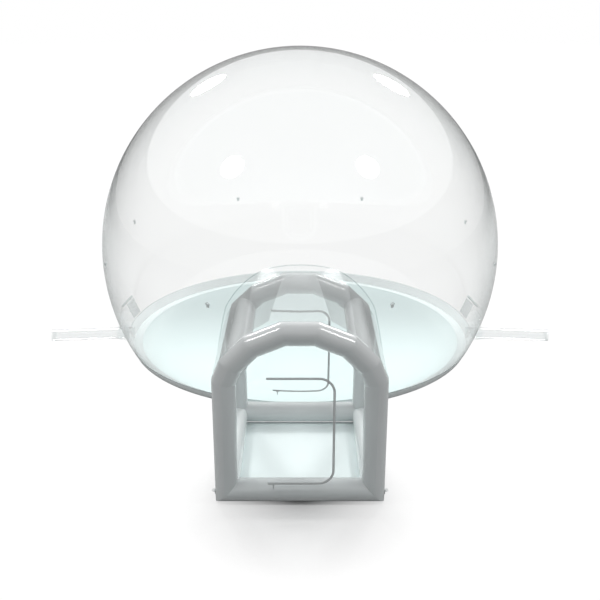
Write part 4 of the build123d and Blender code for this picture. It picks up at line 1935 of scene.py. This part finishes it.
# ---------------------------------------------------------------- the studio
@dataclass
class Studio:
    """A pale floor, round soft lamps, a bright sky that stops above the horizon, and the camera.

    Attributes:
        lens: The camera's focal length on a 36 mm sensor, in millimetres.
        camera_at: Where the camera stands.
        camera_tilt: Its tilt up from straight down, in degrees.
        sky_edge: Elevation where the bright sky stops, in degrees.
        floor_radius: Radius of the floor.
        lamp_distance: Distance of the lamps from the dome's middle.
        lamp_radius: Radius of a lamp.
        near_toward: Direction of the right-hand lamp on the tunnel's side, from the dome's middle.
        near_power: Power of each lamp on the tunnel's side, in watts.
        far_toward: Direction of the right-hand lamp behind the tent.
        far_power: Power of each lamp behind the tent, in watts.
        overhead_toward: Direction of the wide overhead lamp.
        overhead_radius: Its radius.
        overhead_power: Its power, in watts.
        floor_shade: The floor's colour to the eye near the tent.
        bounced_shade: The floor's colour to everything but the eye.
        paper_glow: Light that the floor gives off to the eye away from the tent, so that it reads as white.
        shadow_at: Where the floor's shadow is strongest, under the front sill.
        lit_reach: Distances from there between which the floor turns to pure white.
    """

    lens: float = 50.89
    camera_at: tuple[float, float, float] = (0.0, -10.54, 4.395)
    camera_tilt: float = 69.52
    sky_edge: float = 18.5
    floor_radius: float = 60.0
    lamp_distance: float = 14.0
    lamp_radius: float = 1.35
    near_toward: tuple[float, float, float] = (0.513, -0.41, 0.754)
    near_power: float = 290.0
    far_toward: tuple[float, float, float] = (0.444, 0.65, 0.62)
    far_power: float = 560.0
    overhead_toward: tuple[float, float, float] = (0.0, 1.1, 1.0)
    overhead_radius: float = 5.0
    overhead_power: float = 900.0
    floor_shade: float = 0.74
    bounced_shade: Colour = (0.45, 0.46, 0.46)
    paper_glow: float = 1.03
    shadow_at: tuple[float, float, float] = (0.0, -4.0, 0.0)
    lit_reach: tuple[float, float] = (0.06, 1.15)

    def floor(self) -> None:
        """A pale round floor that lights the tent less than a real one would."""
        disc = [(0.0, -0.02), (self.floor_radius, -0.02), (self.floor_radius, 0.0), (0.0, 0.0)]
        piece = revolve("studio_floor", disc, 128)
        maker = MaterialMaker("studio_floor")
        seen, bounced = maker.shader(1.0), maker.shader(1.0)
        place, reach = maker.add("ShaderNodeTexCoord"), maker.add("ShaderNodeVectorMath")
        reach.operation = "DISTANCE"
        maker.link(place.outputs["Object"], reach.inputs[0])
        reach.inputs[1].default_value = self.shadow_at
        away = maker.add("ShaderNodeMapRange")
        away.inputs["From Min"].default_value, away.inputs["From Max"].default_value = self.lit_reach
        maker.link(reach.outputs["Value"], away.inputs["Value"])
        near = (self.floor_shade,) * 3
        maker.shades(away.outputs["Result"], near, (0.0, 0.0, 0.0), seen.inputs["Base Color"])
        glow = maker.math("MULTIPLY", away.outputs["Result"], self.paper_glow)
        seen.inputs["Specular IOR Level"].default_value = 0.0
        seen.inputs["Emission Color"].default_value = (1.0, 1.0, 1.0, 1.0)
        maker.link(glow, seen.inputs["Emission Strength"])
        bounced.inputs["Base Color"].default_value = (*self.bounced_shade, 1.0)
        path = maker.add("ShaderNodeLightPath")
        both = maker.add("ShaderNodeMixShader")
        maker.link(path.outputs["Is Camera Ray"], both.inputs["Fac"])
        maker.link(bounced.outputs["BSDF"], both.inputs[1])
        maker.link(seen.outputs["BSDF"], both.inputs[2])
        piece.data.materials.append(maker.finish(both.outputs["Shader"]))

    def sky(self) -> None:
        """White to the eye; to the plastic, bright above an edge and dark between it and the horizon."""
        world = bpy.data.worlds.new("studio_sky")
        bpy.context.scene.world = world
        world.use_nodes = True
        tree = world.node_tree
        tree.nodes.clear()
        output = tree.nodes.new("ShaderNodeOutputWorld")
        path = tree.nodes.new("ShaderNodeLightPath")
        place = tree.nodes.new("ShaderNodeTexCoord")
        split = tree.nodes.new("ShaderNodeSeparateXYZ")
        tree.links.new(place.outputs["Generated"], split.inputs["Vector"])
        edge = sin(radians(self.sky_edge))
        glossy_steps = [(0.0, 0.41), (edge - 0.004, 0.45), (edge + 0.004, 0.95), (1.0, 0.98)]
        soft_steps = [(0.0, 0.2), (0.25, 0.32), (0.6, 0.5), (1.0, 0.6)]
        shaders = []
        for steps in (glossy_steps, soft_steps):
            ramp = tree.nodes.new("ShaderNodeValToRGB")
            stops = ramp.color_ramp.elements
            while len(stops) < len(steps):
                stops.new(0.5)
            for stop, (position, value) in zip(stops, steps):
                stop.position = position
                stop.color = (value, value, value, 1.0)
            tree.links.new(split.outputs["Z"], ramp.inputs["Fac"])
            background = tree.nodes.new("ShaderNodeBackground")
            tree.links.new(ramp.outputs["Color"], background.inputs["Color"])
            shaders.append(background)
        white = tree.nodes.new("ShaderNodeBackground")
        white.inputs["Color"].default_value = (1.0, 1.0, 1.0, 1.0)
        by_gloss = tree.nodes.new("ShaderNodeMixShader")
        tree.links.new(path.outputs["Is Glossy Ray"], by_gloss.inputs["Fac"])
        tree.links.new(shaders[1].outputs["Background"], by_gloss.inputs[1])
        tree.links.new(shaders[0].outputs["Background"], by_gloss.inputs[2])
        by_eye = tree.nodes.new("ShaderNodeMixShader")
        tree.links.new(path.outputs["Is Camera Ray"], by_eye.inputs["Fac"])
        tree.links.new(by_gloss.outputs["Shader"], by_eye.inputs[1])
        tree.links.new(white.outputs["Background"], by_eye.inputs[2])
        tree.links.new(by_eye.outputs["Shader"], output.inputs["Surface"])

    def lamp(self, name: str, toward: Vector, middle: Vector, radius: float, power: float,
             reflected: bool = True) -> None:
        """A round soft lamp.

        Args:
            name: The lamp's name.
            toward: Direction of the lamp from the dome's middle.
            middle: The dome's middle.
            radius: The lamp's radius.
            power: Its power, in watts.
            reflected: False where shiny things don't show the lamp.
        """
        light = bpy.data.lights.new(name, "AREA")
        light.shape = "DISK"
        light.size = 2 * radius
        light.energy = power
        piece = bpy.data.objects.new(name, light)
        piece.location = middle + toward.normalized() * self.lamp_distance
        piece.rotation_euler = (-toward).to_track_quat("-Z", "Y").to_euler()
        piece.visible_camera = False
        piece.visible_glossy = reflected
        bpy.context.scene.collection.objects.link(piece)

    def build(self, middle: Vector) -> None:
        """Sets up the floor, the light and the camera.

        Args:
            middle: The dome's middle.
        """
        self.floor()
        self.sky()
        for side in Side:
            near = Vector((side.value * self.near_toward[0], *self.near_toward[1:]))
            far = Vector((side.value * self.far_toward[0], *self.far_toward[1:]))
            self.lamp(f"near_lamp_{side.label}", near, middle, self.lamp_radius, self.near_power)
            self.lamp(f"far_lamp_{side.label}", far, middle, self.lamp_radius, self.far_power)
        self.lamp("overhead_lamp", Vector(self.overhead_toward), middle, self.overhead_radius,
                  self.overhead_power, False)
        camera = bpy.data.objects.new("camera", bpy.data.cameras.new("camera"))
        camera.data.lens = self.lens
        camera.data.sensor_width = 36.0
        camera.location = self.camera_at
        camera.rotation_euler = (radians(self.camera_tilt), 0, 0)
        bpy.context.scene.collection.objects.link(camera)
        scene = bpy.context.scene
        scene.camera = camera
        scene.view_settings.view_transform = "Standard"
        scene.cycles.transparent_max_bounces = 48
        scene.cycles.caustics_reflective = False
        scene.cycles.caustics_refractive = False


def dress_hardware(finishes: Finishes) -> None:
    """Gives the rings, patches and valves their materials.

    Args:
        finishes: The tent's materials.
    """
    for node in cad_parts:
        if node.startswith("ring_") and node != "ring_patches":
            dress_node(node, finishes.steel)
        elif node.startswith(("foot_ring", "valve_")):
            dress_node(node, finishes.white)
        elif node in ("ring_patches", "foot_patches"):
            dress_node(node, finishes.patch)


def main() -> None:
    """Builds the tent piece by piece, then the studio."""
    logging.basicConfig(level=logging.INFO, format="%(message)s")
    finishes = Finishes()
    dome = Dome()
    front = TubeFrame("front")
    rear = TubeFrame("rear", lean=6.7)
    tunnel = Tunnel(front, rear, dome)
    front_end = FrontEnd(front, Door("front", Body.FRONT_DOOR, 0.593, 1.031, 0.134))
    inner_end = InnerEnd(dome, Door("inner", Body.INNER_DOOR, 0.606, 1.006, 0.118))
    vents = [Vent(dome, side) for side in Side]
    ducts = [Duct(dome, side) for side in Side]
    openings = [inner_end.opening, *[part.opening for part in vents + ducts]]

    Studio().build(dome.centre)
    dome.build(finishes, openings)
    front.build(finishes)
    rear.build(finishes)
    tunnel.build(finishes)
    front_end.build(finishes)
    inner_end.build(finishes)
    for part in vents + ducts:
        part.build(finishes)
    dress_hardware(finishes)


if __name__ == "__main__":
    main()
